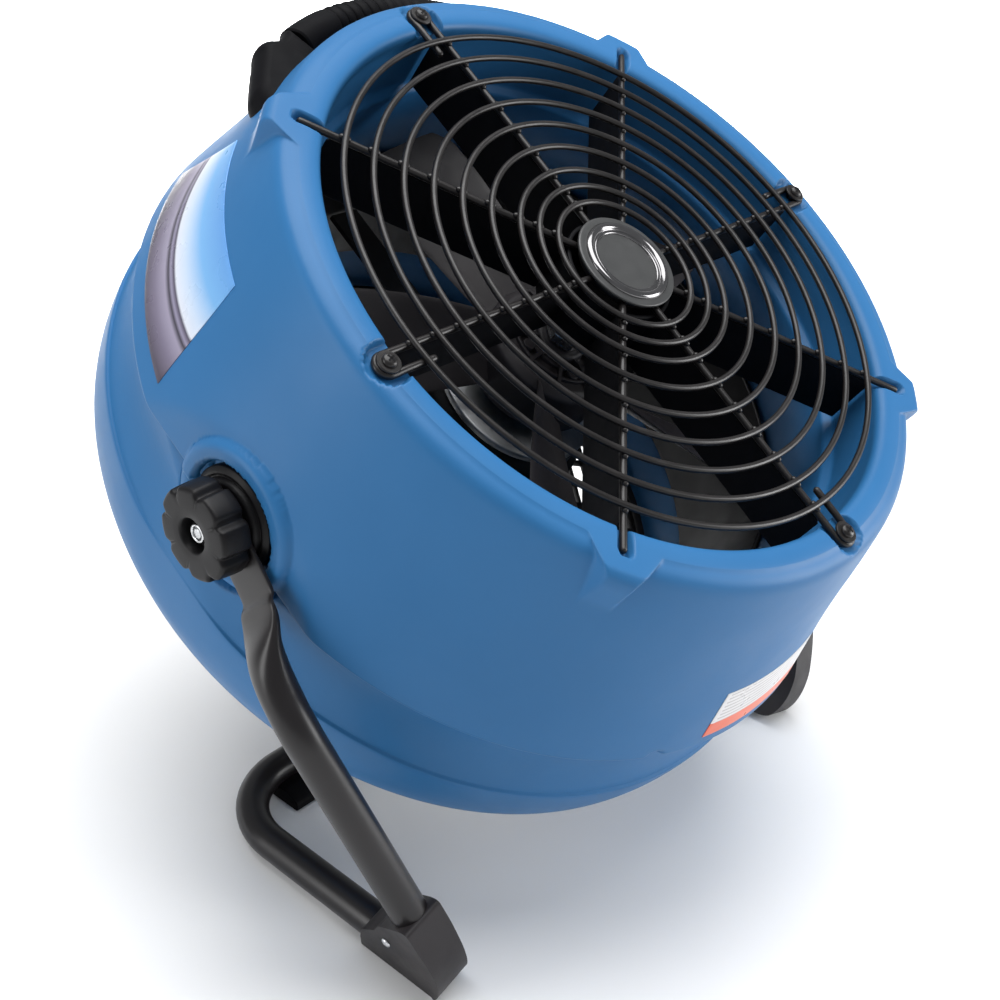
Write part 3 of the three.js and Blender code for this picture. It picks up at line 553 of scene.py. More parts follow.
def front_radius(phi, y):
    """The front shell's outside: side flats, pivot collars, rim tabs, handle tray and drip notch."""
    phi, y = np.broadcast_arrays(phi, y)
    radius = round_radius(np.interp(y, FRONT_LINE[:, 1], FRONT_LINE[:, 0]), y, phi)
    side = np.maximum(np.abs(np.cos(phi)), 1e-3)
    radius = smooth_min(radius, SIDE_FLAT / side, 2.2)
    distance = np.hypot(y - PIVOT_Y, near_side(phi, radius))
    facing = side > 0.9
    ring = np.where(facing, collar_height(distance) / side, 100.0)
    radius = smooth_max(radius, ring, 4.5)
    sunk = SEAT_X + 40 * smoothstep(distance, 36.2, 40.5)
    radius = np.where(facing & (distance < 41), np.minimum(radius, sunk / side), radius)
    turn = tab_offset(phi)
    across = np.abs(radius * np.sin(turn))
    ledge = np.interp(y, [0, 1.6, 3, 5, 8, 12, 16, 52], [243, 246, 248, 249.8, 250.8, 251, 250.4, 246])
    half = np.interp(y, [0, 14, 52], [TAB_HALF, TAB_HALF, TAB_HALF - 0.5])
    wedge = smooth_min(ledge, TAB_TOP + (half + TAB_HALF - across) * TAB_SLOPE, 1.8)
    radius = smooth_max(radius, wedge, 1.8)
    x = np.abs(radius * np.cos(phi))
    dip = between(y, *TRAY_Y, 2, 2) * (1 - smoothstep(x, TRAY_HALF - 2.5, TRAY_HALF + 1.5))
    dip = dip * (np.sin(phi) > 0.5)
    tray = TRAY_FLOOR / np.maximum(np.sin(phi), 0.5)
    radius = radius * (1 - dip) + np.minimum(tray, radius) * dip
    off_notch = (phi - math.radians(NOTCH_ANGLE)) * FRONT_LINE[-1, 0] / NOTCH_HALF
    return radius - NOTCH_DEPTH * np.exp(-off_notch ** 2) * smoothstep(y, 149, 155)


def rim_drop(phi, radius):
    """How far the top of the rim is cut down for the spokes' ends and their screws."""
    turn = tab_offset(phi)
    across = np.abs(radius * np.sin(turn))
    end = np.hypot(np.maximum(radius - SLOT_END, 0), across)
    slot = SLOT_DEPTH * (1 - smoothstep(end, 4.0, 6.2))
    quarter = (phi + math.pi / 4) % (math.pi / 2) - math.pi / 4
    along = radius * np.cos(quarter)
    aside = radius * np.sin(quarter)
    pocket = np.hypot(along - 223, aside - SCREW_OFFSET)
    round_part = 1 - smoothstep(pocket, 13.2, 15.6)
    mouth = (1 - smoothstep(np.abs(aside - 5.5), 12.0, 14.4)) * (1 - smoothstep(along, 222, 225))
    return np.maximum(slot, SCREW_POCKET_DEPTH * np.maximum(round_part, mouth))


def front_shell():
    zones = [(a, 5.5, 0.2) for a in TAB_ANGLES] + [(a + 1.8, 4.6, 0.22) for a in SCREW_ANGLES]
    zones += [(0, 13, 0.34), (180, 13, 0.34), (90, 24, 0.5), (NOTCH_ANGLE, 2.5, 0.3)]
    phi = np.radians(uneven_angles(0.8, zones))
    rows = []

    def ring(radius, y):
        rows.append((np.broadcast_to(radius, phi.shape), np.broadcast_to(y, phi.shape)))

    for radius, y in filleted([[206, 118], [206, 57], [212, 52], [212, 9]], 2.0, 3, closed=False)[:-1]:
        ring(radius, y)
    for y in np.linspace(46, 9.5, 12):
        ring(212.0, y)
    for radius, y in [(212.05, 8.2), (212.3, 6.6), (212.9, 5.0), (213.9, 3.6), (215.3, 2.5),
                      (217, 1.75), (219, 1.3), (221, 1.08), (223, 1.0)]:
        ring(radius, np.maximum(y, rim_drop(phi, radius) + 0.02 * y))
    edge = front_radius(phi, 1.6)
    for k in range(1, 15):
        radius = 223 + (edge - 223) * k / 15
        ring(radius, np.maximum(1.0 + 0.35 * (k / 15) ** 3, rim_drop(phi, radius)))
    depth = np.concatenate([[1.6, 2.3, 3.1, 4.1, 5.4, 7, 9, 11.5, 14.5], np.arange(17.5, 60, 2.6),
                            np.arange(60, 92, 2.0), np.arange(92, 153, 1.45), [153.4, 154.4]])
    for y in depth:
        radius = front_radius(phi, y)
        ring(radius, np.maximum(y, rim_drop(phi, radius)))
    lip = front_radius(phi, 155.0)
    for inset, y in [(0.35, 155.4), (1.3, 155.9), (2.6, 156.0), (3.8, 155.6), (4.3, 154.8),
                     (4.6, 151), (5.2, 146)]:
        ring(lip - inset, y)
    for radius, y in [(266, 130), (252, 104), (220.5, 76), (220.5, 16), (218, 14), (216.5, 54.5),
                      (211, 58.5), (211, 118)]:
        ring(radius, y)
    return shell(rows, phi)


piece("front_shell", front_shell(), BLUE, sharp=0)


def pivot_collar():
    """The ring moulded round the pivot, with the seat of the friction disc inside it."""
    line = [(5.8, 255), (5.8, SEAT_X), (36.4, SEAT_X)]
    line += [(36.6, 262.4), (36.8, 266.5), (37.6, 268.8), (39.2, 270.5), (41.5, 271.3),
             (43.8, 271.4), (46.2, 270.7), (48.2, 269.2), (49.6, 266.8), (50.2, 263.5), (50.2, 255)]
    return turned_out(line, 120)


pair("pivot_collar", pivot_collar(), BLUE,
          nodes=("front_shell",), sharp=50)


def rear_radius(phi, radius, y):
    """The rear shell's outside, kept clear of the arms and raised for the control pad."""
    phi, y = np.broadcast_arrays(phi, y)
    radius = round_radius(radius, y, phi)
    side = np.maximum(np.abs(np.cos(phi)), 1e-3)
    limit = 260.5 + 16 * smoothstep(y, 152, 196)
    radius = smooth_min(radius, limit / side, 3.0)
    distance = np.hypot(y - PIVOT_Y, near_side(phi, radius))
    hole = (side > 0.9) * (1 - smoothstep(distance, 51, 53.5))
    radius = radius * (1 - hole) + np.minimum(radius, 254 / side) * hole
    x = radius * np.cos(phi)
    over = (np.sin(phi) > 0.5) * (1 - smoothstep(np.abs(x), PAD_HALF - 1, PAD_HALF + 1.5))
    over = over * between(y, *PAD_Y, 1.5, 1)
    up = np.maximum(np.sin(phi), 0.5)
    radius = radius * (1 - over) + np.maximum(radius, PAD_TOP / up) * over
    pocket = (np.abs(x - SWITCH[0]) < POCKET_HALF[0]) & (np.abs(y - SWITCH[1]) < POCKET_HALF[1])
    pocket = pocket & (np.sin(phi) > 0.5)
    return np.where(pocket, POCKET_FLOOR / up, radius)


def rear_shell():
    zones = [(0, 13, 0.45), (180, 13, 0.45), (90, 9.5, 0.3)]
    phi = np.radians(uneven_angles(0.9, zones))
    length = np.concatenate([[0], np.cumsum(np.hypot(*np.diff(REAR_LINE, axis=0).T))])
    pad_edges = np.interp([223, 224.5, 226, 262, 263.5, 265], REAR_LINE[:, 1], length)
    at = np.unique(np.concatenate([np.linspace(0, length[-1], SHELL_ROWS), length, pad_edges]))
    rows = []
    for radius, y in zip(*(np.interp(at, length, column) for column in REAR_LINE.T)):
        rows.append((rear_radius(phi, radius, y), np.full_like(phi, y)))
    inside = filleted([[214, 316], [207.5, 314.5], [205, 307], [205, 236], [209, 236], [210, 304],
                       [214, 310]], 2.5, 3, closed=False)[1:]
    for radius, y in [*inside, (227, 310), (240, 303.5), (262, 281), (268, 264), (270, 240),
                      (268, 221), (262, 200), (254, 178), (252, 150), (253, 146)]:
        rows.append((np.full_like(phi, radius), np.full_like(phi, y)))
    return shell(rows, phi)


piece("rear_shell", rear_shell(), BLUE, sharp=0)


# ---- films printed on the shell
FILM_STEPS, FILM_LIFT, FILM_THICKNESS = (64, 40), 0.25, 0.45


def film(angles, depths):
    """A thin sheet over the front shell. angles and depths are at its four corners."""
    uu, vv = np.meshgrid(*(np.linspace(0, 1, steps) for steps in FILM_STEPS))

    def corners(c):
        near, far = c
        return (near[0] * (1 - uu) + near[1] * uu) * (1 - vv) + (far[0] * (1 - uu) + far[1] * uu) * vv

    phi, y = np.radians(corners(angles)), corners(depths)
    edge = np.minimum.reduce([uu, 1 - uu, vv, 1 - vv])
    base = front_radius(phi, y) + FILM_LIFT
    top = base + FILM_THICKNESS * smoothstep(edge, -0.004, 0.006)
    rows, columns = phi.shape
    upper = grid_faces(rows, columns, wrap_columns=False)
    count = rows * columns
    lower = [tuple(count + k for k in reversed(f)) for f in upper]
    border = ([k for k in range(columns)] + [r * columns + columns - 1 for r in range(1, rows)]
              + [(rows - 1) * columns + k for k in range(columns - 2, -1, -1)]
              + [r * columns for r in range(rows - 2, 0, -1)])
    walls = [(a, b, b + count, a + count) for a, b in zip(border, border[1:] + border[:1])]
    uv = np.column_stack([uu.ravel(), vv.ravel()])
    part = (np.vstack([at_angle(top, y, phi), at_angle(base - FILM_LIFT - 0.2, y, phi)]),
            upper + lower + walls)
    return part, np.vstack([uv, uv])


sheet, sheet_map = film(((157.8, 129.6), (160.3, 121.0)), ((55.5, 57.0), (139.0, 139.5)))
piece("side_decal", sheet, DECAL, sharp=50, uv=sheet_map)
sheet, sheet_map = film(((258.0, 280.0), (258.0, 280.0)), ((106.5, 106.5), (147.0, 147.0)))
piece("rating_label", sheet, LABEL, sharp=50, uv=sheet_map)

# ---- duct and vanes
piece("duct_ring", ring_block(202.8, 206, 118.5, 235.5, 1.2, 144), BLACK)
piece("vane_hub", spun([[0, 46], [37, 46], [37, 7], [40, 7], [40, 49], [14, 49], [13, 51], [0, 51]], 1.0),
      VANE)
for i in range(8):
    vane = prism([(40.3, 7), (207.5, 7), (209.5, 9), (209.5, 49), (40.3, 49)], -1, 1)
    piece(f"straightening_vane_{i + 1}", turned_to(vane, 45 * i), VANE, bevel=0.5, bevel_steps=2)

# ---- outlet grille
RING_RADII = (200, 180.5, 160.3, 140.1, 120.1, 99.7, 79.1, 65, 51)
RING_WIRE, SPOKE_WIRE, SPOKE_Y = 2.15, 2.4, 4.1


def ring_y(radius):
    """The grille is dished a little, its middle towards the outlet side."""
    return -0.4 * (1 - (radius / 200) ** 2)


def wire_line(points, radius, sides=12):
    """A wire along a softened line, with rounded ends."""
    path = softened(points, 1)
    steps = np.linalg.norm(np.diff(path, axis=0), axis=1)
    path = path[np.concatenate([[True], steps > 1e-4])]
    head, tail = unit(path[0] - path[1]), unit(path[-1] - path[-2])
    round_end = [(0.94, 0.34), (0.7, 0.7), (0.35, 0.93)]
    path = np.vstack([[path[0] + head * radius * a for a, _ in round_end], path,
                      [path[-1] + tail * radius * a for a, _ in round_end[::-1]]])
    sizes = np.concatenate([[b for _, b in round_end], np.ones(len(path) - 6),
                            [b for _, b in round_end[::-1]]])

    def section(share):
        return circle(radius * np.interp(share * (len(path) - 1), np.arange(len(path)), sizes), sides)

    return sweep(path, section, (0.0, 1.0, 0.01))


def radial_wire(radii, y, radius, sides=12):
    return wire_line([(r, y, 0) for r in radii], radius, sides)


def looped_spoke():
    """A radial wire that runs out, round a screw and back beside itself."""
    turn = np.linspace(-math.pi / 2, math.pi / 2, 15)
    loop = [(SCREW_CIRCLE + SCREW_OFFSET * 0.98 * math.cos(a), SPOKE_Y,
             SCREW_OFFSET + SCREW_OFFSET * 0.98 * math.sin(a)) for a in turn]
    back = [(r, SPOKE_Y - (0.9 if r < 215 else 0.3), 2 * SCREW_OFFSET - (0.4 if r < 215 else 0.1))
            for r in (214, 206, 200, 192.0)]
    path = [*((r, SPOKE_Y, 0) for r in (30, 80, 140, 200)), *loop, *back]
    return wire_line(path, SPOKE_WIRE)


def outlet_grille():
    parts = []
    for radius in RING_RADII:
        a = np.linspace(0, TAU, int(48 + radius * 0.72), endpoint=False)
        ring = at_angle(radius, np.full_like(a, ring_y(radius)), a)
        parts.append(sweep(ring, circle(RING_WIRE), (0, 1, 0), closed=True))
    for angle in SCREW_ANGLES:
        parts.append(turned_to(looped_spoke(), angle))
    for angle in TAB_ANGLES:
        parts.append(turned_to(radial_wire((30, 120, 200, 228.5), SPOKE_Y, SPOKE_WIRE), angle))
    for radius in RING_RADII:
        weld = radial_wire((radius - 2.1, radius, radius + 2.1), 2.0 + ring_y(radius) * 0.5, 2.2, 8)
        parts += [turned_to(weld, angle) for angle in range(0, 360, 45)]
    return merged(*parts)


piece("outlet_grille", outlet_grille(), WIRE, sharp=60)
piece("grille_back_disc", ring_block(0, 33, 2.8, 6.2, 0.8), WIRE, nodes=("outlet_grille",))
piece("grille_hub_plate", spun(
    [[0, 0.6], [36.2, 0.6], [37, -0.6], [36.6, -1.9], [35.6, -2.2], [31.5, -2.2], [30.5, -2.6],
     [27.0, -2.6], [26.0, -1.7], [0, -1.7]], 0.7, 128), HUB_GREY,
    sharp=55)
piece("grille_hub_bead", spun(
    [[22.6, -1.2], [22.9, -2.6], [24.2, -2.9], [25.3, -2.5], [26.2, -3.9], [28.2, -4.9], [30.4, -4.3],
     [31.6, -2.8], [31.4, -1.2]], 0.9, 128), BEAD,
    nodes=("grille_hub_plate",), sharp=55)


def cross_screw(head, height, shank, length, washer=0.0):
    """A pan head screw, its head towards -y; the cross in it is a separate piece."""
    line = [[0, -height], [head * 0.45, -height * 0.97], [head * 0.78, -height * 0.78],
            [head * 0.96, -height * 0.42], [head, 0.0]]
    line = [*softened(line, 2).tolist(), [head, 0.2]]
    if washer:
        line += [[washer - 0.4, 0.2], [washer, 0.6], [washer, 1.6], [washer - 0.4, 2.0], [shank, 2.0]]
    line += [[shank, length - 1.2], [shank - 1.2, length], [0, length]]
    return lathe_open(line, 40)


def cross_recess_shade(head, height):
    """The cross of a screw head as a shallow dark inlay: painted shade standing in for its recess."""
    w, h = head * 0.55, head * 0.13
    arm = cuboid((-w, w), (-height * 0.965 - 0.12, -height * 0.8), (-h, h))
    return merged(turned_to(arm, 20), turned_to(arm, 110))


def screw(name, number, angle, place, sizes, material, facing=1):
    """A screw with its cross painted as shade, a dark inlay, its head towards -y, or towards +y when facing
    is -1.
    """
    for kind, (points, faces), look, nodes, sharp in (
            (name, cross_screw(*sizes), material, (), 45),
            # the cross: a dark inlay of painted shade where the recess would be
            (f"{name}_cross", cross_recess_shade(*sizes[:2]), VANE, (f"{name}_{number}",), 40)):
        part = turned_to(moved((points * np.array([1, facing, 1]), faces), *place), angle)
        piece(f"{kind}_{number}", part, look, slot=slot_of[material.name], nodes=nodes, sharp=sharp)


for i, angle in enumerate(SCREW_ANGLES):
    screw("grille_screw", i + 1, angle, (SCREW_CIRCLE, -0.3, SCREW_OFFSET), (4.9, 2.9, 2.8, 21, 7.8),
          WIRE)

# ---- propeller and motor
HUB_RADIUS, BLADE_TIP, BLADE_COUNT = 50.0, 196.0, 5


def blade_loop(radius, points=26):
    """The section of a blade on the cylinder of this radius."""
    share = max((radius - HUB_RADIUS) / (BLADE_TIP - HUB_RADIUS), 0.0)
    pitch = math.radians(42 + (20 - 42) * share)
    chord = 46 + 34 * math.sin(share * 0.8 * math.pi / 2) ** 0.8
    chord *= 1 - 0.16 * smoothstep(share, 0.9, 1.0)
    sweep_back = 14 * share ** 2
    t = np.linspace(0, TAU, points, endpoint=False)
    along = 0.5 * np.cos(t)
    thick = (2.3 * np.sin(t) * (1 - 0.25 * np.cos(t))) * (1 - 0.35 * share)
    camber = 2.6 * (1 - (2 * along) ** 2)
    a, h = along * chord, thick + camber
    across = a * math.cos(pitch) - h * math.sin(pitch) + sweep_back
    deep = a * math.sin(pitch) + h * math.cos(pitch)
    x = np.sqrt(np.maximum(radius ** 2 - across ** 2, 0))
    return np.stack([x, 150.5 + deep, across], -1)


def blade():
    radii = np.concatenate([np.linspace(46, 190, 34), [193, 195, 195.8, 196]])
    loops = []
    for radius in radii:
        loop = blade_loop(radius)
        if radius > 193.5:
            middle = loop.mean(0)
            loop = middle + (loop - middle) * (1 - 0.06 * (radius - 193.5) / 2.5)
        loops.append(loop)
    return stacked(loops)


def propeller():
    parts = [spun([[8.3, 130], [17, 130], [19, 132], [19, 135], [44, 135.5], [50, 141], [50, 176],
                   [46.5, 176], [46.5, 142], [20, 141], [20, 168], [8.3, 168]], 2.0, 120)]
    for k in range(10):
        rib = prism([(18.5, 131.5), (24, 130.2), (42, 133.0), (44.5, 136.5), (18.5, 138)], -1.25, 1.25)
        parts.append(turned_to(rib, 36 * k + 9))
    for radius in (26.5, 36.0):
        parts.append(ring_block(radius - 1.2, radius + 1.2, 132.6, 138, 0.7))
    boss = spun([[0, 131.2], [4.3, 131.2], [4.6, 138], [0, 138]], 0.7, 24)
    for k in range(5):
        parts.append(turned_to(moved(boss, x=31.2), 72 * k + 27))
    for k in range(BLADE_COUNT):
        parts.append(turned_to(blade(), 360 / BLADE_COUNT * k + 12))
    return merged(*parts)


piece("propeller", propeller(), GREY, "rotor", sharp=35, to_row=drive)
piece("motor_shaft", ring_block(0, 8, 122, 282, 1.0, 48), STEEL, "rotor", to_row=drive)
nut = prism(circle(15, 6), 121, 129.6)
piece("propeller_nut", (nut[0][:, [0, 2, 1]], nut[1]), STEEL, "rotor", bevel=1.2, to_row=drive)
piece("rotor_core", ring_block(8.3, 36, 210, 250, 1.0, 72), CORE, "rotor",
      to_row=drive)


def stator_can():
    fin = prism([(61.5, 203), (61.95, 203), (61.95, 215), (61.5, 215)], -1.0, 1.0)
    return merged(ring_block(37, 62, 198, 262, 1.4), *(turned_to(fin, 10 * k) for k in range(36)))


piece("stator_can", stator_can(), ENAMEL, to_row=drive)
FRONT_SHIELD = [[17.3, 185], [26, 185], [40, 190], [62, 192], [62, 197.7], [17.3, 197.7]]
REAR_SHIELD = [[17.3, 262.3], [62, 262.3], [62, 268], [40, 270], [26, 275], [17.3, 275]]
for end, line, low in (("front", FRONT_SHIELD, 186), ("rear", REAR_SHIELD, 263)):
    piece(f"{end}_end_shield", spun(line, 1.6), CAST,
          to_row=drive)
    piece(f"{end}_bearing", ring_block(8.3, 17, low, low + 11, 0.9, 72), STEEL, to_row=drive)


def motor_mount():
    """A clamp ring round the can and four ribbed arms out to the duct."""
    parts = [ring_block(62.3, 68, 218, 242, 1.0)]
    for angle in SCREW_ANGLES:
        arm = prism([(66.5, 228), (200.8, 228), (200.8, 232), (66.5, 232)], -13, 13)
        rib = prism([(66.5, 232), (190, 232), (120, 240), (66.5, 241.5)], -1.6, 1.6)
        parts += [turned_to(arm, angle), turned_to(rib, angle)]
    return merged(*parts)


piece("motor_mount", motor_mount(), ENAMEL, bevel=0.7, bevel_steps=2, to_row=drive)
piece("run_capacitor", turned_to(spun(
    [[0, 204], [6, 204], [6, 207], [13, 207], [15, 209], [15, 254], [13.5, 256], [0, 256]], 1.2, 48,
    (84.5, 0)), 45), BLACK, to_row=drive)

# ---- inlet grille
INLET_RIM, INLET_TURN = 203.6, 62


def inlet_grille():
    """A rim, a middle disc and crossed bars that lean to one side."""
    parts = [ring_block(INLET_RIM - 9, INLET_RIM, 281.6, 292.4, 1.6, 144),
             ring_block(0, 44, 283.2, 290.8, 1.6)]
    pitch, half_bar = 16.0, 1.5
    for z in np.arange(-12, 13) * pitch:
        half = math.sqrt((INLET_RIM - 5) ** 2 - z * z)
        bar = filleted([(284.2, z - half_bar), (289.8, z - half_bar), (289.8, z + half_bar),
                        (284.2, z + half_bar)], 0.8, 2)
        p, f = prism(bar, -half, half)
        parts.append(turned_to((p[:, [2, 0, 1]], f), INLET_TURN))
    for x in range(-176, 177, 22):
        half = math.sqrt((INLET_RIM - 5) ** 2 - x * x)
        post = filleted([(x - 1.6, 284), (x + 1.6, 284), (x + 1.6, 290), (x - 1.6, 290)], 0.9, 2)
        parts.append(turned_to(prism(post, -half, half), INLET_TURN))
    return merged(*parts)


piece("inlet_grille", inlet_grille(), BLACK, sharp=35)
for i, angle in enumerate((30, 150, 210, 330)):
    screw("shell_screw", i + 1, angle, (243.0, 306.8, 0.0), (6.0, 3.4, 3.0, 24), STEEL, facing=-1)

# ---- controls
PLATE_Z = 286.3
PLATE_TOP = PLATE_Z + 2.5
WELL, WELL_WALL = (11.2, 7.5), (12.3, 8.6)
WELL_FLOOR = 273.3


def control_plate():
    """A flat plate with the switch's well let into it, a raised frame and the button's collar."""
    border = filleted([(-39, 225), (39, 225), (39, 263), (-39, 263)], 5, 6) - SWITCH
    edge = np.vstack([a + (b - a) * np.linspace(0, 1, 24, endpoint=False)[:, None]
                      for a, b in zip(border, np.roll(border, -1, axis=0))])
    corners = np.array([(i * x, j * y) for x, y in (WELL, WELL_WALL) for i in (-1, 1) for j in (-1, 1)])
    turn = [np.arctan2(p[:, 1], p[:, 0]) for p in (edge, border, corners)]
    angle = np.unique(np.round(np.concatenate(turn[1:]), 5))
    order = np.argsort(turn[0])
    reach = np.interp(angle, turn[0][order], np.hypot(*edge.T)[order], period=TAU)
    cos, sin = np.cos(angle), np.sin(angle)
    well, wall = (np.minimum(x / np.maximum(np.abs(cos), 1e-6), y / np.maximum(np.abs(sin), 1e-6))
                  for x, y in (WELL, WELL_WALL))
    loops = [(well, WELL_FLOOR), (well, PLATE_TOP), (reach, PLATE_TOP), (reach, PLATE_Z),
             (wall, PLATE_Z), (wall, WELL_FLOOR - 1)]
    frame_parts = [stacked([np.column_stack([SWITCH[0] + r * cos, SWITCH[1] + r * sin,
                                             np.full_like(cos, z)]) for r, z in loops])]
    for x0, x1, y0, y1 in ((-27, -25.2, 234.7, 253.3), (-2.8, -1, 234.7, 253.3),
                           (-25.2, -2.8, 234.7, 236.5), (-25.2, -2.8, 251.5, 253.3)):
        frame_parts.append(cuboid((x0, x1), (y0, y1), (PLATE_TOP - 0.2, PLATE_TOP + 1.4)))
    frame_parts.append(turned_up(filleted([[5.5, 0], [8.6, 0], [8.0, 3.4], [5.5, 3.4]], 0.7), 48,
                                 BUTTON, PLATE_Z + 1.5))
    return merged(*frame_parts)


piece("control_plate", control_plate(), BLACK, bevel=0.5, bevel_steps=2)


def speed_rocker():
    """A rocker with a dished top, its lower part in the plate's well."""
    top = [(-10, 0), (-10.2, 5.0), (-9.6, 7.6), (-7, 8.2), (0, 7.2), (7, 8.2), (9.6, 7.6),
           (10.2, 5.0), (10, 0), (4, -7.5), (-4, -7.5)]
    p, f = prism(filleted(top, 1.0), -6.6, 6.6)
    p = np.stack([p[:, 0] + SWITCH[0], p[:, 2] + SWITCH[1], p[:, 1] + PLATE_Z - 4], -1)
    return p, f


piece("speed_rocker", speed_rocker(), BLACK, "rocker", bevel=0.5, bevel_steps=2)
button = filleted([[0, 273.4], [5, 273.4], [5, 291.6], [4.4, 293.2], [2.6, 293.6], [0, 293.2]],
                  0.7, 3, False)
piece("breaker_button", turned_up(button, 40, BUTTON, closed=False), RUBBER, "breaker",
      slot="black_moulding")
gland = spun([[4.2, 306], [9, 306], [9, 316], [14, 316], [14, 318.5], [12.5, 319.5], [12.5, 321.5],
              [10, 323], [10, 326], [9, 327], [9, 332], [8, 333], [4.2, 333]], 0.6, 48, (236.0, 0.0))
piece("cord_gland", turned_to(gland, 75), BLACK)

# ---- carrying handle
HANDLE_Y = 44.0


def handle_line(x):
    return 267 - 21.7 * (x / 90) ** 2


def handle_grip():
    x = np.linspace(-79.8, 79.8, 430)
    path = np.stack([x, np.full_like(x, HANDLE_Y), handle_line(x)], -1)

    def section(share):
        at = abs(-79.8 + 159.6 * share)
        rib = abs(math.cos(math.pi * at / 8.6)) ** 0.55
        size = 11.0 + 2.2 * rib
        size += (13.2 - size) * float(smoothstep(at, 42.5, 44.0))
        size -= 1.4 * float(smoothstep(at, 78.6, 79.8))
        return circle(size, 36, 0.96)

    return sweep(path, section, (0, 0, 1))


piece("handle_grip", handle_grip(), RUBBER, sharp=50)
x = np.linspace(-100, 100, 60)
bar = sweep(np.stack([x, np.full_like(x, HANDLE_Y), handle_line(x)], -1), circle(5, 24), (0, 0, 1))
piece("handle_bar", bar, STEEL)


def handle_boot():
    """The moulded end of the grip, a rounded horn on the front shell beside the tray."""
    outline = filleted([(75.4, 236), (85.0, 260.5), (91, 255.5), (99, 251.8), (104, 252.0),
                        (110, 253.2), (116.5, 250.5), (121, 244), (134, 229), (148, 211), (147, 196),
                        (104, 214), (84, 225)], [1, 2, 8, 8, 4, 3, 5, 6, 14, 6, 2, 2, 6], 5)
    foot = np.array([106.0, 216.0])
    layers = []
    for t in 15 * np.sin(np.linspace(-math.pi / 2, math.pi / 2, 21)):
        ring = foot + (outline - foot) * (1 - (15.1 - math.sqrt(15.1 ** 2 - t * t)) / 46)
        layers.append(np.column_stack([ring[:, 0], np.full(len(ring), HANDLE_Y + t), ring[:, 1]]))
    return stacked(layers)


pair("handle_boot", handle_boot(), RUBBER, sharp=50)

# ---- pivots and knobs
KNOB_IN, KNOB_OUT, KNOB_RADIUS, KNOB_LOBES = 278.3, 299.0, 31.0, 8


def knob():
    a = np.linspace(0, TAU, 480, endpoint=False)
    edge = np.maximum(np.cos(KNOB_LOBES * a - math.pi), 0) ** 2.6
    outline = KNOB_RADIUS - 3.4 * edge
    rows = [(10.5, KNOB_IN, 0), (26, KNOB_IN, 0), (None, KNOB_IN, 1.6), (None, KNOB_IN + 0.8, 0.5),
            (None, KNOB_IN + 2.2, 0.0), (None, KNOB_IN + 8, 0.1), (None, KNOB_OUT - 6, 0.5)]
    rows += [(None, KNOB_OUT - 3.6 + 3.4 * math.sin(t), 0.7 + 3.2 * (1 - math.cos(t)))
             for t in np.linspace(0, math.pi / 2, 7)]
    rows += [(24, KNOB_OUT, 0), (18, KNOB_OUT + 0.05, 0), (12.6, KNOB_OUT, 0), (11.7, KNOB_OUT - 0.3, 0),
             (11, KNOB_OUT - 1.3, 0), (10.6, KNOB_OUT - 8.9, 0), (5.4, KNOB_OUT - 9, 0),
             (5.4, KNOB_IN + 0.5, 0)]
    points = []
    for radius, depth, inset in rows:
        r = outline - inset if radius is None else np.full_like(a, radius)
        points.append(np.stack([np.full_like(a, depth), r * np.sin(a) + PIVOT_Y,
                                r * np.cos(a) + PIVOT_Z], -1))
    return stacked(points, closed=True)


FRICTION = filleted([[5.8, 262], [34, 262], [34, 268.6], [30.5, 270.8], [29.2, 270.8], [28.4, 269.4],
                     [27.2, 269.4], [26.4, 272.2], [24.8, 273.7], [5.8, 273.7]], 0.8, 3)
BOLT = filleted([[0, 234], [3.8, 234], [5, 235.2], [5, 290.3], [6.3, 290.3], [6.3, 294.4], [5.7, 295.2],
                 [4.7, 295.2], [4.1, 294.6], [4.1, 292.6], [3.3, 292.6], [3.3, 294.5], [2.9, 294.9],
                 [0, 294.9]], 0.35, 2, False)
WASHER = filleted([[5.3, 289.95], [8.6, 289.95], [8.6, 291.2], [5.3, 291.2]], 0.4, 2)
pair("friction_disc", turned_out(FRICTION, 96), BLACK, sharp=35)
pair("clamp_knob", knob(), BLACK, "knob_{}", sharp=60)
pair("clamp_bolt", turned_out(BOLT, 48, closed=False), STEEL, "knob_{}", sharp=35)
pair("knob_washer", turned_out(WASHER, 48), ENAMEL, "knob_{}", nodes=("clamp_bolt_{}",),
     slot="bright_steel", sharp=35)

# ---- stand
PIVOT_HEIGHT = PIVOT[2] / MM
TUBE_RADIUS, TUBE_HEIGHT = 12.7, 17.1
FLAT_X, ARM_X, RUN_X = 276.0, 292.5, 218.0
ARM_TOP = np.array([-84.0, PIVOT_HEIGHT - 96.6])
V_POINT = np.array([-153.0, TUBE_HEIGHT])
CROSS_Y = 88.0
DOWN = unit(ARM_TOP - [0, PIVOT_HEIGHT])


def rounded_path(corners, steps=14):
    """A line through corners (place, radius), each corner rounded by an arc of its radius."""
    points = [np.array(corners[0][0], float)]
    for (before, _), (here, radius), (after, _) in zip(corners, corners[1:], corners[2:]):
        here = np.array(here, float)
        back, ahead = unit(np.array(before) - here), unit(np.array(after) - here)
        half = math.acos(np.clip(back.dot(ahead), -1, 1)) / 2
        start, end = here + back * radius / math.tan(half), here + ahead * radius / math.tan(half)
        centre = here + unit(back + ahead) * radius / math.sin(half)
        a, b = start - centre, end - centre
        turn = math.pi - 2 * half
        for t in np.arange(steps + 1) / steps:
            points.append(centre + (math.sin((1 - t) * turn) * a + math.sin(t * turn) * b) / math.sin(turn))
    points.append(np.array(corners[-1][0], float))
    return np.array(points)


def along_plate(x, distance):
    return np.array([x, DOWN[0] * distance, PIVOT_HEIGHT + DOWN[1] * distance])


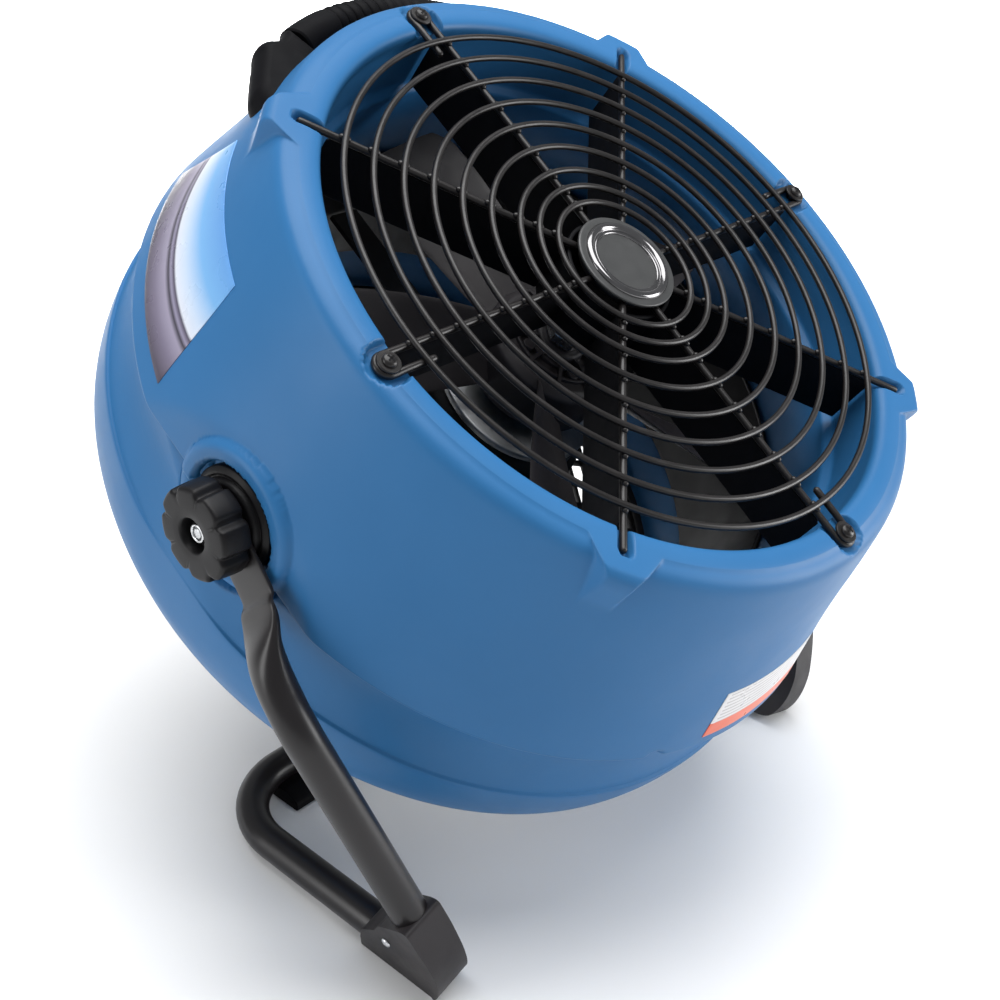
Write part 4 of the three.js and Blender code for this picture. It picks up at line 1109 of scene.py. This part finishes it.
def half_path():
    """The tube's centre line from its flattened end to the middle of the cross tube."""
    return rounded_path([(along_plate(-ARM_X, 110), 0), ((-ARM_X, *ARM_TOP), 60),
                         ((-RUN_X, *V_POINT), 25), ((-RUN_X, CROSS_Y, TUBE_HEIGHT), 62),
                         ((0, CROSS_Y, TUBE_HEIGHT), 0)])


# Distance down the arm, place beyond FLAT_X, half thickness and half width of the tube.
FLAT_END = np.array([
    [-15.6, 0, 1.2, 1.2], [-15.2, 0, 1.9, 5.0], [-13.4, 0, 2, 9.6], [-10.4, 0, 2, 13.2],
    [-5.4, 0, 2, 16.0], [2, 0, 2, 17.0], [20, 0, 2, 17.3], [44, 0, 2, 17.5], [49.5, 0.4, 2, 17.5],
    [51.5, 1.6, 2, 17.5], [54, 4.2, 2, 17.9], [56.5, 5.2, 2.1, 19], [60, 5.7, 2.5, 19.4],
    [66, 7.6, 3.9, 19], [72, 10.3, 6.4, 18], [80, 13.4, 9.4, 16.4], [90, 15.4, 11.4, 14.6],
    [100, 16.3, 12.4, 13.3], [108, 16.5, 12.7, 12.8]])
FLAT_END[:, 1] += FLAT_X


def stand_tube():
    sides = 40
    a = np.linspace(0, TAU, sides, endpoint=False) + 0.5 * TAU / sides
    outward = np.array([-1.0, 0.0, 0.0])
    down = along_plate(0, 1) - along_plate(0, 0)
    across = np.cross(down, outward)
    fine = np.concatenate([FLAT_END[:6, 0], np.linspace(2, 107, 72)[1:]])
    table = softened(FLAT_END[5:], 2)
    loops = []
    for distance in fine:
        source = FLAT_END[:6] if distance <= 2 else table
        x, thick, half = (np.interp(distance, source[:, 0], source[:, k]) for k in (1, 2, 3))
        power = 0.35 + 0.65 * smoothstep(thick, 2.4, 10)
        c, s = np.cos(a), np.sin(a)
        flat_c = np.sign(c) * np.abs(c) ** power
        flat_s = np.sign(s) * np.abs(s) ** (0.85 + 0.15 * smoothstep(thick, 2.4, 10))
        centre = along_plate(-x, distance)
        loops.append(centre + (thick * flat_c)[:, None] * outward + (half * flat_s)[:, None] * across)
    loops += path_loops(half_path(), TUBE_RADIUS * np.column_stack([np.cos(a), np.sin(a)]), outward)
    return stacked(loops + [loop * np.array([-1, 1, 1]) for loop in reversed(loops[:-1])])


piece("stand_tube", stand_tube(), TUBE, "stand", to_row=ground, sharp=38)

ARM_LEAN = math.atan2(ARM_X - RUN_X, ARM_TOP[1] - TUBE_HEIGHT)
BOOT_HALF = TUBE_RADIUS + 2.9


def leaned(out, up):
    """x and z of a place beside a floor run, in a frame that leans out with the arm."""
    return (out * math.cos(ARM_LEAN) + up * math.sin(ARM_LEAN),
            -out * math.sin(ARM_LEAN) + up * math.cos(ARM_LEAN))


def front_boot():
    """The boot round the sharp bend at the front of a floor run, leaning out with the arm."""
    outline = filleted([(-140, -17.2), (-149, -14.5), (-155.5, -4), (-159, 9), (-159.5, 26),
                        (-155, 45), (-146.8, 70), (-140, 68), (-114, 49), (-109, 38), (-96, 25),
                        (-90, 19.5), (-84, 4), (-81, -9), (-80, -17.2)],
                       [3, 5, 6, 8, 10, 10, 4, 8, 8, 6, 8, 3, 3, 2, 1], 4)
    p, f = prism(outline, -BOOT_HALF, BOOT_HALF)
    y, w, t = p[:, 0], p[:, 1], p[:, 2]
    x, z = leaned(t * (1 - 0.10 * smoothstep(-y, 150, 165)), w)
    return np.stack([RUN_X + x, y, np.maximum(z + TUBE_HEIGHT, 0.0)], -1), f


def boot_rivet():
    points, faces = spun([[0, 0], [3.9, 0], [3.4, 1.3], [1.6, 2.0], [0, 2.1]], 0.6, 36)
    x, z = leaned(points[:, 1], points[:, 2])
    return np.stack([x + RUN_X + BOOT_HALF + 9.9, points[:, 0] - 118, z + 42], -1), faces


def rear_foot():
    """A rubber block under the cross tube, hollowed where the tube lies in it."""
    outline = filleted([(52, 0), (103, 0), (103, 9), (101, 14), (99, 15), (90, 12), (76, 12.5),
                        (66, 13), (56, 10), (52, 6)], 2.5, 4)
    p, f = prism(outline, 128, 170)
    return p[:, [2, 0, 1]], f


pair("front_boot", front_boot(), GREY, "stand", to_row=ground, bevel=4.0, bevel_steps=5)
pair("boot_rivet", boot_rivet(), STEEL, "stand", to_row=ground)
pair("rear_foot", rear_foot(), RUBBER, "stand", to_row=ground, bevel=1.6)

# ---- floor, light and camera
FLOOR = surface("pale_floor", "floor", (0.88, 0.88, 0.88), (0.91, 0.91, 0.91), (0.55, 0.65), patch=1.5,
                grain=60.0, grain_height=0.0001)
FLOOR_HALF, FLOOR_ROWS, FLOOR_Z = 9, 25, -0.0006
span = np.linspace(-FLOOR_HALF, FLOOR_HALF, FLOOR_ROWS)
plane = bpy.data.meshes.new("floor")
plane.from_pydata([(x, y, FLOOR_Z) for y in span for x in span], [],
                  grid_faces(FLOOR_ROWS, FLOOR_ROWS, wrap_columns=False))
plane.materials.append(FLOOR)
floor = bpy.data.objects.new("floor", plane)
scene.collection.objects.link(floor)

world = bpy.data.worlds.new("studio")
scene.world = world
world.use_nodes = True
backdrop = world.node_tree.nodes["Background"]
backdrop.inputs["Color"].default_value = (0.94, 0.97, 1.0, 1.0)
backdrop.inputs["Strength"].default_value = 0.38


def soft_box(name, place, target, size, power, beam=180):
    lamp = bpy.data.lights.new(name, "AREA")
    lamp.shape = "RECTANGLE"
    lamp.size, lamp.size_y = size
    lamp.energy = power
    lamp.spread = math.radians(beam)
    obj = bpy.data.objects.new(name, lamp)
    obj.location = place
    obj.rotation_euler = (Vector(target) - Vector(place)).to_track_quat("-Z", "Y").to_euler()
    scene.collection.objects.link(obj)


MIDDLE = (0.0, 0.0, 0.33)
soft_box("top_light", (0.1, 0.1, 2.7), MIDDLE, (2.4, 2.4), 105)
soft_box("right_light", (1.7, -1.9, 0.7), MIDDLE, (1.2, 1.4), 46)
soft_box("left_light", (-2.3, 0.9, 0.8), MIDDLE, (0.9, 1.4), 22)
soft_box("back_light", (2.6, 2.8, 2.6), (2.3, 2.5, 0.0), (3.0, 3.0), 250, beam=70)

LENS, SENSOR = 50.69, 36.0
lens = bpy.data.cameras.new("camera")
lens.lens, lens.sensor_width = LENS, SENSOR
lens.sensor_fit = "HORIZONTAL"
lens.shift_x, lens.shift_y = 0.020, 0.007
lens.clip_start, lens.clip_end = 0.05, 50
camera = bpy.data.objects.new("camera", lens)
RIGHT, UPWARD, BACKWARD = (0.6646, -0.7446, 0.0630), (0.3323, 0.3699, 0.8676), (-0.6693, -0.5557, 0.4932)
PLACE = (-0.7329, -0.57777 + float(PIVOT[1]), 0.7592)
camera.matrix_world = Matrix([*zip(RIGHT, UPWARD, BACKWARD, PLACE), (0, 0, 0, 1)])
scene.collection.objects.link(camera)
scene.camera = camera
scene.view_settings.view_transform = "Standard"
